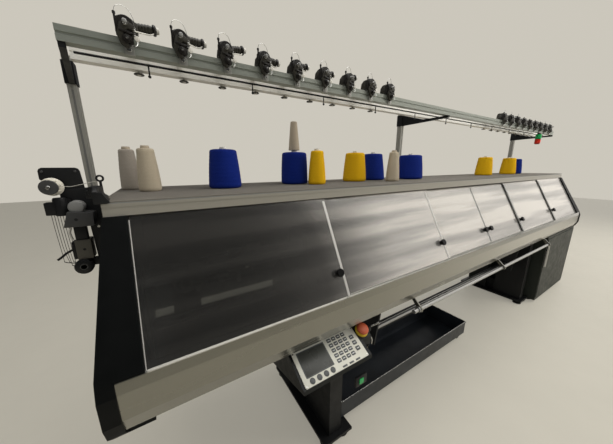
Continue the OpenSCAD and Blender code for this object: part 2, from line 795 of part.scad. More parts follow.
// Slider around one bar, with the arm that leads the yarn to the needles
module yarn_feeder(i) {
    x = feeder_first + i * feeder_step;
    y = yarn_rail_y(i);
    tip = bed_y + (i - (yarn_rail_count - 1) / 2) * 4;
    color("#d8d9d6") difference() {
        union() {
            box([x, y - feeder_w / 2, feeder_low], [x + feeder_l, y + feeder_w / 2, feeder_high]);
            along_x(x + feeder_l / 2 - 8, x + feeder_l / 2 + 8)
                polygon([[y - 6, feeder_low + 4], [y + 6, feeder_low + 4], [tip + 0.8, feeder_tip],
                         [tip - 0.8, feeder_tip]]);
        }
        box([x - 1, y - yarn_rail_w / 2 - run_gap, yarn_rail_low - run_gap],
            [x + feeder_l + 1, y + yarn_rail_w / 2 + run_gap, yarn_rail_low + yarn_rail_rise + run_gap]);
    }
}
module yarn_feeder_1() { yarn_feeder(0); }
module yarn_feeder_2() { yarn_feeder(1); }
module yarn_feeder_3() { yarn_feeder(2); }
module yarn_feeder_4() { yarn_feeder(3); }

// Rollers that draw the fabric down
module takedown_roller() {
    color("#1c1c1d") union() {
        rod_x(roller_y, roller_z, roller_x + plate_t + run_gap, roller_x + roller_l - run_gap, roller_d);
        rod_x(roller_y, roller_z, roller_x, roller_x + roller_l + plate_t, journal_d);
    }
}
module pressure_roller() {
    color("#c8cacb") union() {
        rod_x(press_y, press_z, roller_x + plate_t + run_gap, roller_x + roller_l - run_gap, press_d);
        rod_x(press_y, press_z, roller_x, roller_x + roller_l + plate_t, journal_d);
    }
}
// Start bar hung under the front beam, bent down at its right end
module start_bar() {
    bend_x = bar_x1 - bar_bend;
    color("#c2c4c5") union() {
        rod_x(bar_y, bar_z, bar_x0, bend_x, bar_d);
        translate([bend_x, bar_y, bar_z - bar_bend]) rotate([90, 0, 0])
            rotate_extrude(angle = 90) translate([bar_bend, 0]) circle(d = bar_d);
        translate([bar_x1, bar_y, bar_z - bar_drop]) cylinder(h = bar_drop - bar_bend, d = bar_d);
        rod_x(bar_y, bar_z, bar_plates[0] - 10, bar_plates[0] - 0.5, bar_d + 10);
    }
}

// Side profile of the console up to the depth back
function console_top_z(y) = console_z + (y - console_y) * tan(console_tilt);
module console_profile(back) {
    front = console_y - (plate_l + 4) * cos(console_tilt);
    lip = console_top_z(front) - console_lip;
    slope = (console_low - lip) / (console_back - front);
    polygon([[console_y, console_z], [front, console_top_z(front)], [front - 3, lip],
             [back, lip + (back - front) * slope], [back, console_z]]);
}
// Side profile of the short box at its right, which carries the stop button
module stop_box_profile() {
    front = console_y - stop_box_l * cos(console_tilt);
    top = console_top_z(front);
    polygon([[console_y, console_z], [front, top], [front, top - 40], [console_y + 20, console_z - 62],
             [console_y + 20, console_z]]);
}
module console_housing() {
    rear_x = left_base_x + column_in - run_gap;
    color("#26292a") union() {
        along_x(console_x, console_x + console_l) console_profile(column_y - run_gap);
        along_x(console_x, rear_x) console_profile(console_back);
        along_x(console_x + console_l, console_x + console_l + stop_box_w) stop_box_profile();
    }
}
// Places children on the console's top: y runs up the slope, z off the face
module on_console(x, up, off) {
    translate([x, console_y, console_z]) rotate([console_tilt, 0, 0]) translate([0, up, off]) children();
}
key_w = 17;
key_step = 24;
screen_x = 22;
screen_y = -plate_l + 32;
module key_plate() {
    color("#c9cbc8") union() {
        difference() {
            on_console(plate_x, -plate_l - 2, 0) cube([plate_w, plate_l - 2, plate_rise]);
            on_console(plate_x + screen_x, screen_y, 1) cube([screen_w, screen_l, plate_rise]);
        }
        for (c = [0 : 3], r = [0 : 4])
            on_console(plate_x + screen_x + screen_w + 42 + c * key_step, -26 - r * 21, plate_rise)
                cube([key_w, 13, 1.4]);
        for (r = [0 : 2]) on_console(plate_x + plate_w - 22, -44 - r * 26, plate_rise) cube([14, 16, 1.4]);
        for (c = [0 : 3]) on_console(plate_x + screen_x + 18 + c * 30, -plate_l + 14, plate_rise)
            cylinder(h = 1.4, d = 14);
    }
}
module display_screen() {
    color("#3d4a4c") on_console(plate_x + screen_x, screen_y, 1) cube([screen_w, screen_l, plate_rise - 0.6]);
}
// Stop button: a collar on the console and a mushroom head that travels into it
module stop_base() {
    color("#d8b52a") on_console(stop_x, stop_up, 0) difference() {
        cylinder(h = 8, d = stop_d + 5);
        translate([0, 0, 1]) cylinder(h = 8, d = 22 + 2 * run_gap);
    }
}
module stop_button() {
    r = stop_d / 2;
    color("#c8281e") on_console(stop_x, stop_up, 0) rotate_extrude()
        polygon([[0, 7], [11, 7], [11, 14], [r * 0.86, 14.5], [r, 18], [r, 22], [r * 0.88, 27],
                 [r * 0.5, 30.5], [0, 31.5]]);
}

// Grooved posts behind the shelf, each with two ties to the rear cover
module creel_post(x, tie) {
    y = post_y - post_d / 2;
    color("#b9bab4") union() {
        difference() {
            box([x - post_w / 2, y, 700], [x + post_w / 2, y + post_d, post_top_h]);
            for (gy = [y - 1, y + post_d - 4]) box([x - 4, gy, 699], [x + 4, gy + 5, post_top_h + 1]);
            for (gx = [x - post_w / 2 - 1, x + post_w / 2 - 4])
                box([gx, post_y - 4, 699], [gx + 5, post_y + 4, post_top_h + 1]);
        }
        for (z = [860, 1210]) box([min(x, x + tie), cap_back + 3, z], [max(x, x + tie), y, z + 50]);
    }
}
module creel_posts() {
    creel_post(-post_x, 170);
    creel_post(mid_post_x, 60);
    creel_post(post_x, -170);
}
// Wedge arm: a collar round the post top and a level seat for both rails
module creel_arm(x, turn) {
    y = post_y - post_d / 2;
    w = post_w / 2 + sleeve_t;
    color("#1d1e20") union() {
        difference() {
            box([x - w, y - sleeve_t, arm_top - 22], [x + w, y + post_d + sleeve_t, post_top_h - 20]);
            box([x - post_w / 2, y, arm_top - 30], [x + post_w / 2, y + post_d, post_top_h]);
        }
        translate([x, post_y, 0]) rotate([0, 0, turn]) along_x(-9, 9)
            polygon([[-post_d / 2 - 2, arm_top - 22], [-post_d / 2 - 2, post_top_h - 24],
                     [rear_rail_y + 30 - post_y, arm_top], [arm_front - post_y, arm_top],
                     [arm_front - post_y, arm_top - 16]]);
    }
}
module creel_arms() {
    creel_arm(-post_x, arm_turn);
    creel_arm(mid_post_x, 0);
    creel_arm(post_x, -arm_turn);
}
// Overhead rail, an extrusion with a groove in its front and back
module creel_rail(y) {
    w = creel_rail_w / 2;
    h = creel_rail_h;
    along_x(-creel_l / 2, creel_l / 2) translate([y, arm_top])
        polygon([[-w, 0], [w, 0], [w, h * 0.4], [w - 4, h * 0.44], [w - 4, h * 0.56], [w, h * 0.6], [w, h],
                 [-w, h], [-w, h * 0.6], [-w + 4, h * 0.56], [-w + 4, h * 0.44], [-w, h * 0.4]]);
}
module creel_rail_front() { color("#9fa39c") creel_rail(front_rail_y); }
module creel_rail_rear() { color("#e4e3de") creel_rail(rear_rail_y); }
// Thin rod on the arms, with yarn hooks along it
module creel_rod() {
    y = (front_rail_y + rear_rail_y) / 2;
    color("#2a2a2a") union() {
        rod_x(y, arm_top + 4, -creel_l / 2 + 20, creel_l / 2 - 20, 8);
        for (k = [-5 : 5]) translate([k * hook_pitch, y, arm_top - 34]) union() {
            cylinder(h = 38, d = 5);
            sphere(d = 11, $fn = 20);
        }
    }
}

// One yarn tension unit across both rails, and its eyelet under the rear rail
module tension_unit(x) {
    top = arm_top + creel_rail_h;
    face = front_rail_y - creel_rail_w / 2;
    union() {
        box([x - 15, face - 7, arm_top - 6], [x + 15, face, top + 6]);
        box([x - 15, face - 7, top], [x + 15, rear_rail_y + 12, top + 6]);
        box([x - 12, face + 4, top + 6], [x + 12, face + 96, top + 48]);
        rod_y(x + 2, top + 40, face - 26, face + 40, 46);
        rod_y(x + 2, top + 40, face - 34, face - 26, 30);
        rod_x(face + 58, top + 58, x - 20, x + 78, 26);
        rod_x(face + 58, top + 52, x + 78, x + 88, 36);
        box([x - 24, face - 20, top - 18], [x - 12, face, top + 62]);
        box([x - 24, face - 1, top], [x - 12, face + 8, top + 62]);
        translate([x - 18, face - 6, top + 62]) cylinder(h = 30, d = 8);
    }
    translate([x + 16, rear_rail_y, arm_top - 8]) cylinder(h = 8, d = 8);
    translate([x + 16, rear_rail_y, arm_top - 14]) cylinder(h = 6, d = 36);
}
module tension_units() {
    color("#2e2d2a") for (s = [-1, 1], k = [0 : unit_count - 1])
        tension_unit(s * (unit_first + k * unit_pitch));
}
// Signal lamp hung under the front rail: two lenses on a cap
module signal_lamp() {
    color("#3fae62") translate([lamp_x, front_rail_y, 0]) union() {
        translate([0, 0, arm_top - 12]) cylinder(h = 12, d = 30);
        translate([0, 0, arm_top - 62]) cylinder(h = 50, d = 54);
        translate([0, 0, arm_top - 66]) cylinder(h = 4, d = 48);
        translate([0, 0, arm_top - 116]) cylinder(h = 50, d = 54);
        translate([0, 0, arm_top - 122]) cylinder(h = 6, d = 40);
    }
}

// Places children in the side feeder's own axes: X from the beam's end, Z from the shelf
module at_feeder() {
    translate([-beam_half, 0, shelf_h]) children();
}
// Side feeder at the left end: a mast on the cap, a back plate, two motors and a sensor box
module side_feeder() {
    x0 = -feed_plate_out;
    color("#303233") difference() {
        at_feeder() union() {
            along_y(mast_y, mast_y + mast_t)
                polygon([[-60, -285], [20, -285], [20, -13], [-40, 28], [-126, 28], [-126, -35], [-66, -62]]);
            along_y(mast_y + 8, mast_y + 16)
                polygon([[x0 + 1, 59], [x0 + 3, 96], [-64, 96], [-59, 20], [-132, 20]]);
            rod_y(-135, 35, mast_y + 16, mast_y + 80, 58);
            rod_y(-135, 35, feed_y - 8, mast_y + 16, feed_axle);
            translate([-124, mast_y - 15, -60]) cylinder(h = 60, d = 36);
            box([-162, mast_y - 29, -57], [-124, mast_y - 1, -13]);
            box([-126, mast_y - 10, -56], [-100, mast_y + 1, -6]);
            rod_y(-83, -32, mast_y - 45, mast_y + 70, 42);
            along_y(mast_y - 55, mast_y + 20)
                polygon([[-104, -43], [-39, -50], [-42, -98], [-123, -97]]);
            box([-108, mast_y - 20, -156], [-72, mast_y + 6, -97]);
            box([-120, mast_y - 25, -220], [-66, mast_y + 25, -147]);
            rod_y(-97, -242, mast_y - 35, mast_y - 5, 54);
            box([-112, mast_y - 10, -250], [-50, mast_y + 12, -219]);
            translate([-122, mast_y - 22, -180]) rotate([0, 58, 0]) translate([-5, -4, -48])
                cube([10, 8, 50]);
            box([-21, 22, 16], [8, 96, 41]);
            box([-40, 90, 0], [-12, mast_y + 10, 26]);
            translate([8, 60, 41]) cylinder(h = 14, d = 7);
            along_x(-6, 8) polygon([[-14, -8], [-4.4, -8], [-4.4, 0.4], [24, 0.4], [24, 41], [10, 41],
                                    [-14, 28]]);
            along_y(-14, 24) polygon([[-6, 28], [18, 26], [33, -5], [22, -9], [-6, -8]]);
        }
        mirror([1, 0, 0]) end_cap();
        shelf_block();
    }
    color("#141414") at_feeder() translate([8, 60, 63]) rotate([90, 0, 0])
        rotate_extrude() translate([8, 0]) circle(d = 6, $fn = 24);
}
// The room taken by the shelf at the machine's left end
module shelf_block() {
    box([-shelf_half - 0.4, -rail_out - 0.4, rail_bottom], [0, shelf_d, shelf_h + 0.4]);
}
// Feed wheel: a small front disc, a hub and a larger disc with holes behind it
module feed_wheel() {
    color("#b8b4a8") difference() {
        union() {
            rod_y(feed_x, feed_z, feed_y, feed_y + feed_w, feed_wheel_d * 0.58);
            rod_y(feed_x, feed_z, feed_y, feed_y + 6, feed_wheel_d - 12);
            rod_y(feed_x, feed_z, feed_y + feed_w - 6, feed_y + feed_w, feed_wheel_d);
        }
        rod_y(feed_x, feed_z, feed_y - 1, feed_y + feed_w + 1, feed_axle + 2 * fit_gap);
    }
}

// Wound cone: a tapered package with eased edges on a paper tube
module cone(x, y, low_d, high_d, h) {
    a = low_d / 2;
    b = high_d / 2;
    translate([x, y, shelf_h]) rotate_extrude()
        polygon([[0, 0], [a * 0.86, 0], [a * 0.97, 5], [a, 14], [b, h - 14], [b * 0.96, h - 5], [b * 0.8, h],
                 [17, h + 1], [15, h + 12], [11, h + 12], [11, h - 30], [0, h - 30]]);
}
function end_x(d) = d > 0 ? d - beam_half : beam_half + d;
module cones(places) {
    for (p = places) cone(end_x(p[0]), p[1], p[2], p[3], cone_h + p[4]);
}
module blue_cones() { color("#17237a") cones(blue_places); }
module yellow_cones() { color("#d9a914") cones(yellow_places); }
// Pale cones, and an empty paper cone that stands in the top of a blue one
module pale_cones() {
    p = blue_places[1];
    color("#cfc0a6") cones(pale_places);
    color("#cfc0a6") translate([end_x(p[0]), p[1], shelf_h + cone_h + p[4] + 12.2])
        cylinder(h = paper_cone_h, d1 = 62, d2 = 34, $fn = 40);
}

module placed() { translate([-mid_x, -mid_y, 0]) children(); }

placed() pedestals();
placed() levelling_feet();
placed() bed_girders();
placed() frame_plates();
placed() roller_plates();
placed() pulley_brackets();
placed() front_beam();
placed() bar_hangers();
placed() end_caps();
placed() shelf_deck();
placed() shelf_mat();
placed() shelf_rail();
placed() door_track();
placed() door_a_left();
placed() door_b_left();
placed() door_c_left();
placed() door_c_right();
placed() door_b_right();
placed() door_a_right();
placed() knob_a_left();
placed() knob_b_left();
placed() knob_c_left();
placed() knob_c_right();
placed() knob_b_right();
placed() knob_a_right();
placed() rear_cover();
placed() control_cabinet();
placed() fabric_tray();
placed() needle_beds();
placed() carriage_rails();
placed() carriage();
placed() drive_belt();
placed() pulley_left();
placed() pulley_right();
placed() drive_motor();
placed() yarn_rails();
placed() yarn_feeder_1();
placed() yarn_feeder_2();
placed() yarn_feeder_3();
placed() yarn_feeder_4();
placed() takedown_roller();
placed() pressure_roller();
placed() start_bar();
placed() console_housing();
placed() key_plate();
placed() display_screen();
placed() stop_base();
placed() stop_button();
placed() creel_posts();
placed() creel_arms();
placed() creel_rail_front();
placed() creel_rail_rear();
placed() creel_rod();
placed() tension_units();
placed() signal_lamp();
placed() side_feeder();
placed() feed_wheel();
placed() blue_cones();
placed() yellow_cones();
placed() pale_cones();
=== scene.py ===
import bpy
import bmesh
import json
import math
from mathutils import Vector, Matrix, Euler


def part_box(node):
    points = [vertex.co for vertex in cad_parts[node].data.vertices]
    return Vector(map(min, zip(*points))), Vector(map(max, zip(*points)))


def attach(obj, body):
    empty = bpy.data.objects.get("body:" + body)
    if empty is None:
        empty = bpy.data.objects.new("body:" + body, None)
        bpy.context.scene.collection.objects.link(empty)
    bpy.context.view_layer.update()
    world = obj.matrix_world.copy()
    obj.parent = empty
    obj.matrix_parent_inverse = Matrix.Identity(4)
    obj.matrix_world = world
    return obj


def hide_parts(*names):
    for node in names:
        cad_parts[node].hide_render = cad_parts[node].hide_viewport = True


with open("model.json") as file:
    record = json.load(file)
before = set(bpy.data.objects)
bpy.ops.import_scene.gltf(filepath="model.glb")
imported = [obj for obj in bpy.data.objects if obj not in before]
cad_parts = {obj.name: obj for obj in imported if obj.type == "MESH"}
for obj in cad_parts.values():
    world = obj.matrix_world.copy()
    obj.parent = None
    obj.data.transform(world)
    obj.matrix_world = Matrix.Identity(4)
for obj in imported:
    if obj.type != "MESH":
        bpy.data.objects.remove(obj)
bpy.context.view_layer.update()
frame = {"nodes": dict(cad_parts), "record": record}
scene = bpy.context.scene
nodes = frame["nodes"]
FRAME_BODY = "machine_frame"

# Places are given in the drawing's millimetres. The drawing's origin is on the floor at the
# machine's middle, below the front of the shelf deck, whose lip stands 4 mm further out.
LIP_OUT = 4
deck_low, deck_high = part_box("shelf_deck")
MIDDLE_X = round(-500 * (deck_low[0] + deck_high[0]), 4)
MIDDLE_Y = round(-1000 * deck_low[1] - LIP_OUT, 4)


def point(x, y, z):
    """A place in the drawing, as a point in metres."""
    return Vector(((x - MIDDLE_X) / 1000, (y - MIDDLE_Y) / 1000, z / 1000))


def drawn_box(node):
    """Lowest and highest corner of a node, in the drawing's millimetres."""
    middle = (MIDDLE_X, MIDDLE_Y, 0)
    return [[round(1000 * v + m, 1) for v, m in zip(corner, middle)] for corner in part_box(node)]


def moved(outline, x, z):
    return [(x + a, z + b) for a, b in outline]


# Levels and faces that the pieces stand on
SHELF_TOP = drawn_box("shelf_mat")[1][2]
front_rail_low, front_rail_high = drawn_box("creel_rail_front")
rear_rail_low, rear_rail_high = drawn_box("creel_rail_rear")
RAIL_LOW, RAIL_TOP = front_rail_low[2], front_rail_high[2]
RAIL_FACE = front_rail_low[1]
FRONT_RAIL_Y = (front_rail_low[1] + front_rail_high[1]) / 2
REAR_RAIL_Y = (rear_rail_low[1] + rear_rail_high[1]) / 2

# Directions
UP, DOWN = (0, 0, 1), (0, 0, -1)
FORWARD, BACKWARD = (0, -1, 0), (0, 1, 0)

# The camera, solved from the straight edges of the photo
CAMERA_PLACE = (-2016, -900, 1420)
CAMERA_YAW, CAMERA_PITCH, CAMERA_ROLL = 31.62, 13.0, -0.27
FOCAL_PIXELS, PHOTO_WIDTH = 240, 613
SENSOR_WIDTH = 36


def make_camera():
    yaw, pitch, roll = (math.radians(a) for a in (CAMERA_YAW, CAMERA_PITCH, CAMERA_ROLL))
    forward = Vector((math.sin(yaw) * math.cos(pitch), math.cos(yaw) * math.cos(pitch), -math.sin(pitch)))
    right = Vector((math.cos(yaw), -math.sin(yaw), 0))
    up = right.cross(forward)
    right, up = math.cos(roll) * right + math.sin(roll) * up, -math.sin(roll) * right + math.cos(roll) * up
    camera = bpy.data.cameras.new("camera")
    camera.sensor_width = SENSOR_WIDTH
    camera.lens = SENSOR_WIDTH * FOCAL_PIXELS / PHOTO_WIDTH
    camera.clip_start = 0.02
    camera.clip_end = 60
    ob = bpy.data.objects.new("camera", camera)
    turn = Matrix((right, up, -forward)).transposed().to_4x4()
    turn.translation = point(*CAMERA_PLACE)
    ob.matrix_world = turn
    scene.collection.objects.link(ob)
    scene.camera = ob


make_camera()


# Shader nodes
def feed(tree, node, inputs):
    """Sets a node's inputs, each given as a value or as the socket that feeds it."""
    for key, value in inputs.items():
        if isinstance(value, bpy.types.NodeSocket):
            tree.links.new(value, node.inputs[key])
        else:
            node.inputs[key].default_value = value


def add_node(tree, kind, inputs, **settings):
    node = tree.nodes.new("ShaderNode" + kind)
    for key, value in settings.items():
        setattr(node, key, value)
    feed(tree, node, inputs)
    return node


def mix_shaders(tree, share, first, second):
    return add_node(tree, "MixShader", {0: share, 1: first.outputs[0], 2: second.outputs[0]})


def show(tree, shader):
    """Makes a shader the one that the surface has."""
    out = [n for n in tree.nodes if n.type == "OUTPUT_MATERIAL"][0]
    feed(tree, out, {0: shader.outputs[0]})


def new_material(name):
    mat = bpy.data.materials.new(name)
    mat.use_nodes = True
    tree = mat.node_tree
    tree.nodes.clear()
    add_node(tree, "OutputMaterial", {})
    shader = add_node(tree, "BsdfPrincipled", {})
    show(tree, shader)
    return mat, tree, shader


def coords(tree, scale=(1, 1, 1)):
    place = add_node(tree, "TexCoord", {})
    return add_node(tree, "Mapping", {"Scale": scale, "Vector": place.outputs["Object"]}).outputs[0]


def noise(tree, place, scale, detail=4, rough=0.55):
    inputs = {"Scale": scale, "Detail": detail, "Roughness": rough, "Vector": place}
    return add_node(tree, "TexNoise", inputs).outputs["Fac"]


def ramp(tree, factor, stops):
    node = add_node(tree, "ValToRGB", {0: factor})
    elements = node.color_ramp.elements
    while len(elements) < len(stops):
        elements.new(0.5)
    for element, (position, color) in zip(elements, stops):
        element.position = position
        element.color = (*color, 1)
    return node.outputs[0]


def span(tree, factor, low, high):
    """Stretches the middle of a noise, from 0.3 to 0.7, to run from low to high."""
    inputs = {"From Min": 0.3, "From Max": 0.7, "To Min": low, "To Max": high, 0: factor}
    return add_node(tree, "MapRange", inputs).outputs[0]


def bump(tree, shader, height, strength, distance):
    inputs = {"Strength": strength, "Distance": distance, "Height": height}
    feed(tree, shader, {"Normal": add_node(tree, "Bump", inputs).outputs[0]})


def toned(color, factor):
    return tuple(min(1, v * factor) for v in color)


# Materials, by name
looks = {}
COAT_ROUGHNESS = 0.28


def surface(name, color, rough=0.5, metal=0.0, tone=0.12, grain=900, relief=0.15, depth=0.0004,
            stretch=(1, 1, 1), blotch=3.0, rough_change=0.08, specular=0.5, coat=0.0, dark=None):
    """Paint, plastic or metal: large soft changes of tone, and fine grain in relief and roughness."""
    mat, tree, shader = new_material(name)
    place = coords(tree, stretch)
    large = noise(tree, place, blotch, 6, 0.6)
    middle = noise(tree, place, blotch * 6, 4, 0.6)
    fine = noise(tree, place, grain, 3, 0.6)
    tones = [(0.3, dark or toned(color, 1 - tone)), (0.7, toned(color, 1 + tone * 0.5))]
    feed(tree, shader, {
        "Base Color": ramp(tree, large, tones),
        "Roughness": span(tree, middle, max(0.02, rough - rough_change), rough + rough_change),
        "Metallic": metal,
        "Specular IOR Level": specular})
    if coat:
        feed(tree, shader, {"Coat Weight": coat, "Coat Roughness": COAT_ROUGHNESS})
    bump(tree, shader, fine, relief, depth)
    looks[name] = mat
    return mat


# Painted and cast metal
surface("black_paint", (0.009, 0.0095, 0.01), 0.45, tone=0.3, grain=700, relief=0.25, specular=0.3)
surface("girder_paint", (0.016, 0.017, 0.018), 0.48, tone=0.3, grain=700, relief=0.25, specular=0.3)
surface("beam_silver", (0.27, 0.262, 0.222), 0.24, 0.9, tone=0.07, grain=1200, relief=0.1, depth=0.0002,
        stretch=(0.15, 1, 1), blotch=2.0, rough_change=0.04, coat=1.0)
surface("shelf_sheet", (0.24, 0.245, 0.24), 0.45, 0.2)
surface("cover_grey", (0.045, 0.05, 0.052), tone=0.2)
surface("cabinet_grey", (0.02, 0.024, 0.019), grain=1100, relief=0.2, depth=0.0003, specular=0.3)
surface("tray_dark", (0.022, 0.026, 0.032), 0.36, 0.1, tone=0.35, grain=800, relief=0.2, depth=0.0003,
        dark=(0.012, 0.014, 0.017))
surface("carriage_grey", (0.085, 0.088, 0.09), 0.45, 0.1, tone=0.2)
surface("warm_grey", (0.085, 0.078, 0.06), tone=0.2)
surface("dark_olive", (0.035, 0.032, 0.024), 0.4, 0.15, tone=0.4, grain=700, relief=0.4, depth=0.0005)

# Bare and drawn metal, its tone drawn out along the profile
surface("alu_profile", (0.42, 0.42, 0.39), 0.36, 0.8, tone=0.08, depth=0.0002, stretch=(0.05, 1, 1),
        blotch=2.0, rough_change=0.07)
# Painted reflection: a warmer, less metallic copy of the aluminium, so the shelf rail's face looks as
# bright as the room it reflects
surface("rail_painted_reflection", (0.38, 0.36, 0.31), 0.36, 0.4, tone=0.08, depth=0.0002, stretch=(0.05, 1, 1))
surface("bed_steel", (0.2, 0.2, 0.205), 0.36, 0.8, tone=0.2, grain=800, relief=0.2, depth=0.0003)
surface("rail_steel", (0.32, 0.32, 0.31), 0.3, 0.85, tone=0.1, grain=800, relief=0.1, depth=0.0002,
        stretch=(0.1, 1, 1))
surface("chrome_bar", (0.5, 0.5, 0.49), 0.3, 0.9, tone=0.1, relief=0.08, depth=0.0001,
        stretch=(0.1, 1, 1), blotch=4.0, rough_change=0.06)
surface("post_alu", (0.46, 0.45, 0.4), 0.36, 0.6, tone=0.08, relief=0.12, depth=0.0002,
        stretch=(1, 1, 0.06), rough_change=0.06)
surface("creel_front", (0.31, 0.33, 0.29), 0.36, 0.45, tone=0.08, relief=0.12, depth=0.0002,
        stretch=(0.05, 1, 1))
surface("creel_white", (0.92, 0.9, 0.84), 0.42, tone=0.05, relief=0.1, depth=0.0002, stretch=(0.05, 1, 1))
surface("bright_steel", (0.62, 0.62, 0.6), 0.25, 1.0, relief=0.08, depth=0.0001)
surface("brass", (0.5, 0.38, 0.12), 0.35, 0.9, tone=0.15)

# Rubber, plastic and paper
surface("cap_plastic", (0.003, 0.0036, 0.0036), tone=0.25, grain=1500, relief=0.3, specular=0.14)
surface("mat_rubber", (0.15, 0.137, 0.115), 0.62, tone=0.22, grain=600, relief=0.3, depth=0.0005,
        stretch=(0.2, 1, 1), dark=(0.105, 0.095, 0.08))
surface("belt_rubber", (0.012, 0.012, 0.012), 0.7, tone=0.2)
surface("roller_rubber", (0.018, 0.018, 0.018), 0.6, tone=0.25, grain=500, relief=0.3, depth=0.0005)
surface("knob_black", (0.004, 0.004, 0.004), 0.4, tone=0.2, relief=0.1, depth=0.0002, specular=0.15)
surface("motor_black", (0.011, 0.0115, 0.012), 0.45, tone=0.3, relief=0.3, specular=0.35)
surface("console_black", (0.008, 0.009, 0.009), 0.45, tone=0.3, relief=0.3, depth=0.0003, specular=0.3)
surface("unit_black", (0.014, 0.012, 0.01), 0.4, tone=0.4, relief=0.3)
surface("wheel_grey", (0.34, 0.33, 0.29), 0.45)
surface("wheel_cream", (0.6, 0.57, 0.48), 0.45, tone=0.08)
surface("barrel_grey", (0.24, 0.24, 0.23), 0.4, 0.1)
surface("mid_grey", (0.055, 0.055, 0.054), 0.45, 0.1, tone=0.2)
surface("white_plastic", (0.62, 0.6, 0.54), 0.4, tone=0.08)
surface("paper", (0.42, 0.35, 0.26), 0.7, grain=500, relief=0.2)
surface("pane_edge", (0.5, 0.49, 0.46), 0.35, tone=0.06, relief=0.05, depth=0.0001)
# Painted shade: a dark grey for the right windows' edges, which are turned from the light, and for the
# hollows of the creel posts' slots
surface("painted_shade_grey", (0.2, 0.2, 0.19), 0.4, tone=0.1)

# Console, lamp and switches
surface("key_grey", (0.62, 0.61, 0.53), 0.42, 0.05, tone=0.05, grain=1200, relief=0.1, depth=0.0001)
surface("key_dark", (0.07, 0.075, 0.075), 0.45)
surface("key_white", (0.68, 0.69, 0.66), 0.38, tone=0.05)
surface("screen_dark", (0.05, 0.052, 0.046), 0.3, tone=0.08, grain=1500, relief=0.02, depth=0.0001,
        specular=0.3)
surface("stop_yellow", (0.72, 0.5, 0.03), 0.35, tone=0.1)
surface("stop_red", (0.5, 0.1, 0.04), 0.4, tone=0.08, relief=0.05, depth=0.0001)
surface("lamp_lens", (0.03, 0.42, 0.1), 0.25, tone=0.15)
surface("lens_green", (0.02, 0.38, 0.1), 0.2)
surface("lens_red", (0.6, 0.04, 0.02), 0.2)


def clear_acrylic():
    """Tinted acrylic with a satin film of dust that shows when it is seen at a low angle."""
    mat, tree, shader = new_material("clear_acrylic")
    place = coords(tree)
    feed(tree, shader, {
        "Base Color": (0.1, 0.105, 0.102, 1),
        "Transmission Weight": 1.0,
        "IOR": 1.49,
        "Roughness": span(tree, noise(tree, place, 7, 6, 0.65), 0.02, 0.1)})
    bump(tree, shader, noise(tree, place, 5, 3), 0.03, 0.002)
    wiped = noise(tree, coords(tree, (0.12, 2.2, 2.2)), 6, 4, 0.5)
    dust = ramp(tree, wiped, [(0.36, (0.5, 0.485, 0.46)), (0.5, (0.68, 0.655, 0.62)),
                              (0.62, (0.92, 0.88, 0.82))])
    film = add_node(tree, "BsdfPrincipled", {"Base Color": dust, "Roughness": 0.26, "Metallic": 0.7})
    facing = add_node(tree, "LayerWeight", {"Blend": 0.5}).outputs["Facing"]
    shares = ((0.0, 0.06), (0.16, 0.12), (0.34, 0.62), (0.6, 0.68), (0.8, 0.8))
    share = ramp(tree, facing, [(position, (value,) * 3) for position, value in shares])
    show(tree, mix_shaders(tree, share, shader, film))
    looks["clear_acrylic"] = mat


def yarn(name, color, dark):
    """Wound yarn: fine threads across the cone's axis, with some fuzz."""
    mat, tree, shader = new_material(name)
    place = coords(tree)
    threads = add_node(tree, "TexWave", {"Scale": 130, "Distortion": 3.0, "Detail": 3, "Detail Scale": 3,
                                         "Vector": place}, wave_type="BANDS", bands_direction="Z")
    fuzz = noise(tree, place, 420, 4, 0.7)
    wound = add_node(tree, "Math", {0: threads.outputs["Fac"], 1: fuzz}, operation="ADD").outputs[0]
    feed(tree, shader, {
        "Base Color": ramp(tree, wound, [(0.35, dark), (1.0, color)]),
        "Roughness": 0.85,
        "Specular IOR Level": 0.12,
        "Sheen Weight": 0.03,
        "Sheen Roughness": 0.4})
    bump(tree, shader, wound, 0.5, 0.0012)
    looks[name] = mat


clear_acrylic()
yarn("yarn_blue", (0.006, 0.022, 0.2), (0.002, 0.006, 0.07))
yarn("yarn_yellow", (0.76, 0.44, 0.008), (0.42, 0.22, 0.003))
yarn("yarn_pale", (0.5, 0.43, 0.32), (0.3, 0.25, 0.18))
yarn("yarn_grey", (0.36, 0.32, 0.27), (0.2, 0.18, 0.15))

# Finish of each CAD node, from the slots of the record; the shelf's rail gets a paler, less metallic copy
# of its slot's aluminium, a painted reflection of the bright room
for part in frame["record"]["subparts"]:
    mesh = nodes[part["node"]].data
    mesh.materials.clear()
    mesh.materials.append(looks[part["material_slot"]])
nodes["shelf_rail"].data.materials[0] = looks["rail_painted_reflection"]


# Mesh building
SHARP_EDGE = 0.6
BEVEL_STEPS, BEVEL_PROFILE = 2, 0.6
SPRING_SIDES, SPRING_STEPS = 6, 12
# Faces of a box whose corners run through low and high x, then y, then z
BOX_FACES = [(0, 1, 3, 2), (4, 6, 7, 5), (0, 4, 5, 1), (2, 3, 7, 6), (0, 2, 6, 4), (1, 5, 7, 3)]


def circle(steps):
    """Cosine and sine of each of the even steps round a circle."""
    turns = [2 * math.pi * i / steps for i in range(steps)]
    return [(math.cos(t), math.sin(t)) for t in turns]


def ring_faces(rings, sides):
    """Faces between neighbouring rings of a round or tubular shape."""
    faces = []
    for ring in range(rings - 1):
        low, high = ring * sides, (ring + 1) * sides
        for i in range(sides):
            j = (i + 1) % sides
            faces.append((low + i, low + j, high + j, high + i))
    return faces


def smooth_route(places, steps):
    """A curve through all the places, with even steps between each two."""
    last = len(places) - 1
    route = []
    for i in range(last):
        before, after = places[max(i - 1, 0)], places[min(i + 2, last)]
        start, end = places[i], places[i + 1]
        for k in range(steps):
            t = k / steps
            route.append(0.5 * ((2 * start) + (end - before) * t
                                + (2 * before - 5 * start + 4 * end - after) * t * t
                                + (3 * start - before - 3 * end + after) * t ** 3))
    return route + [places[-1]]


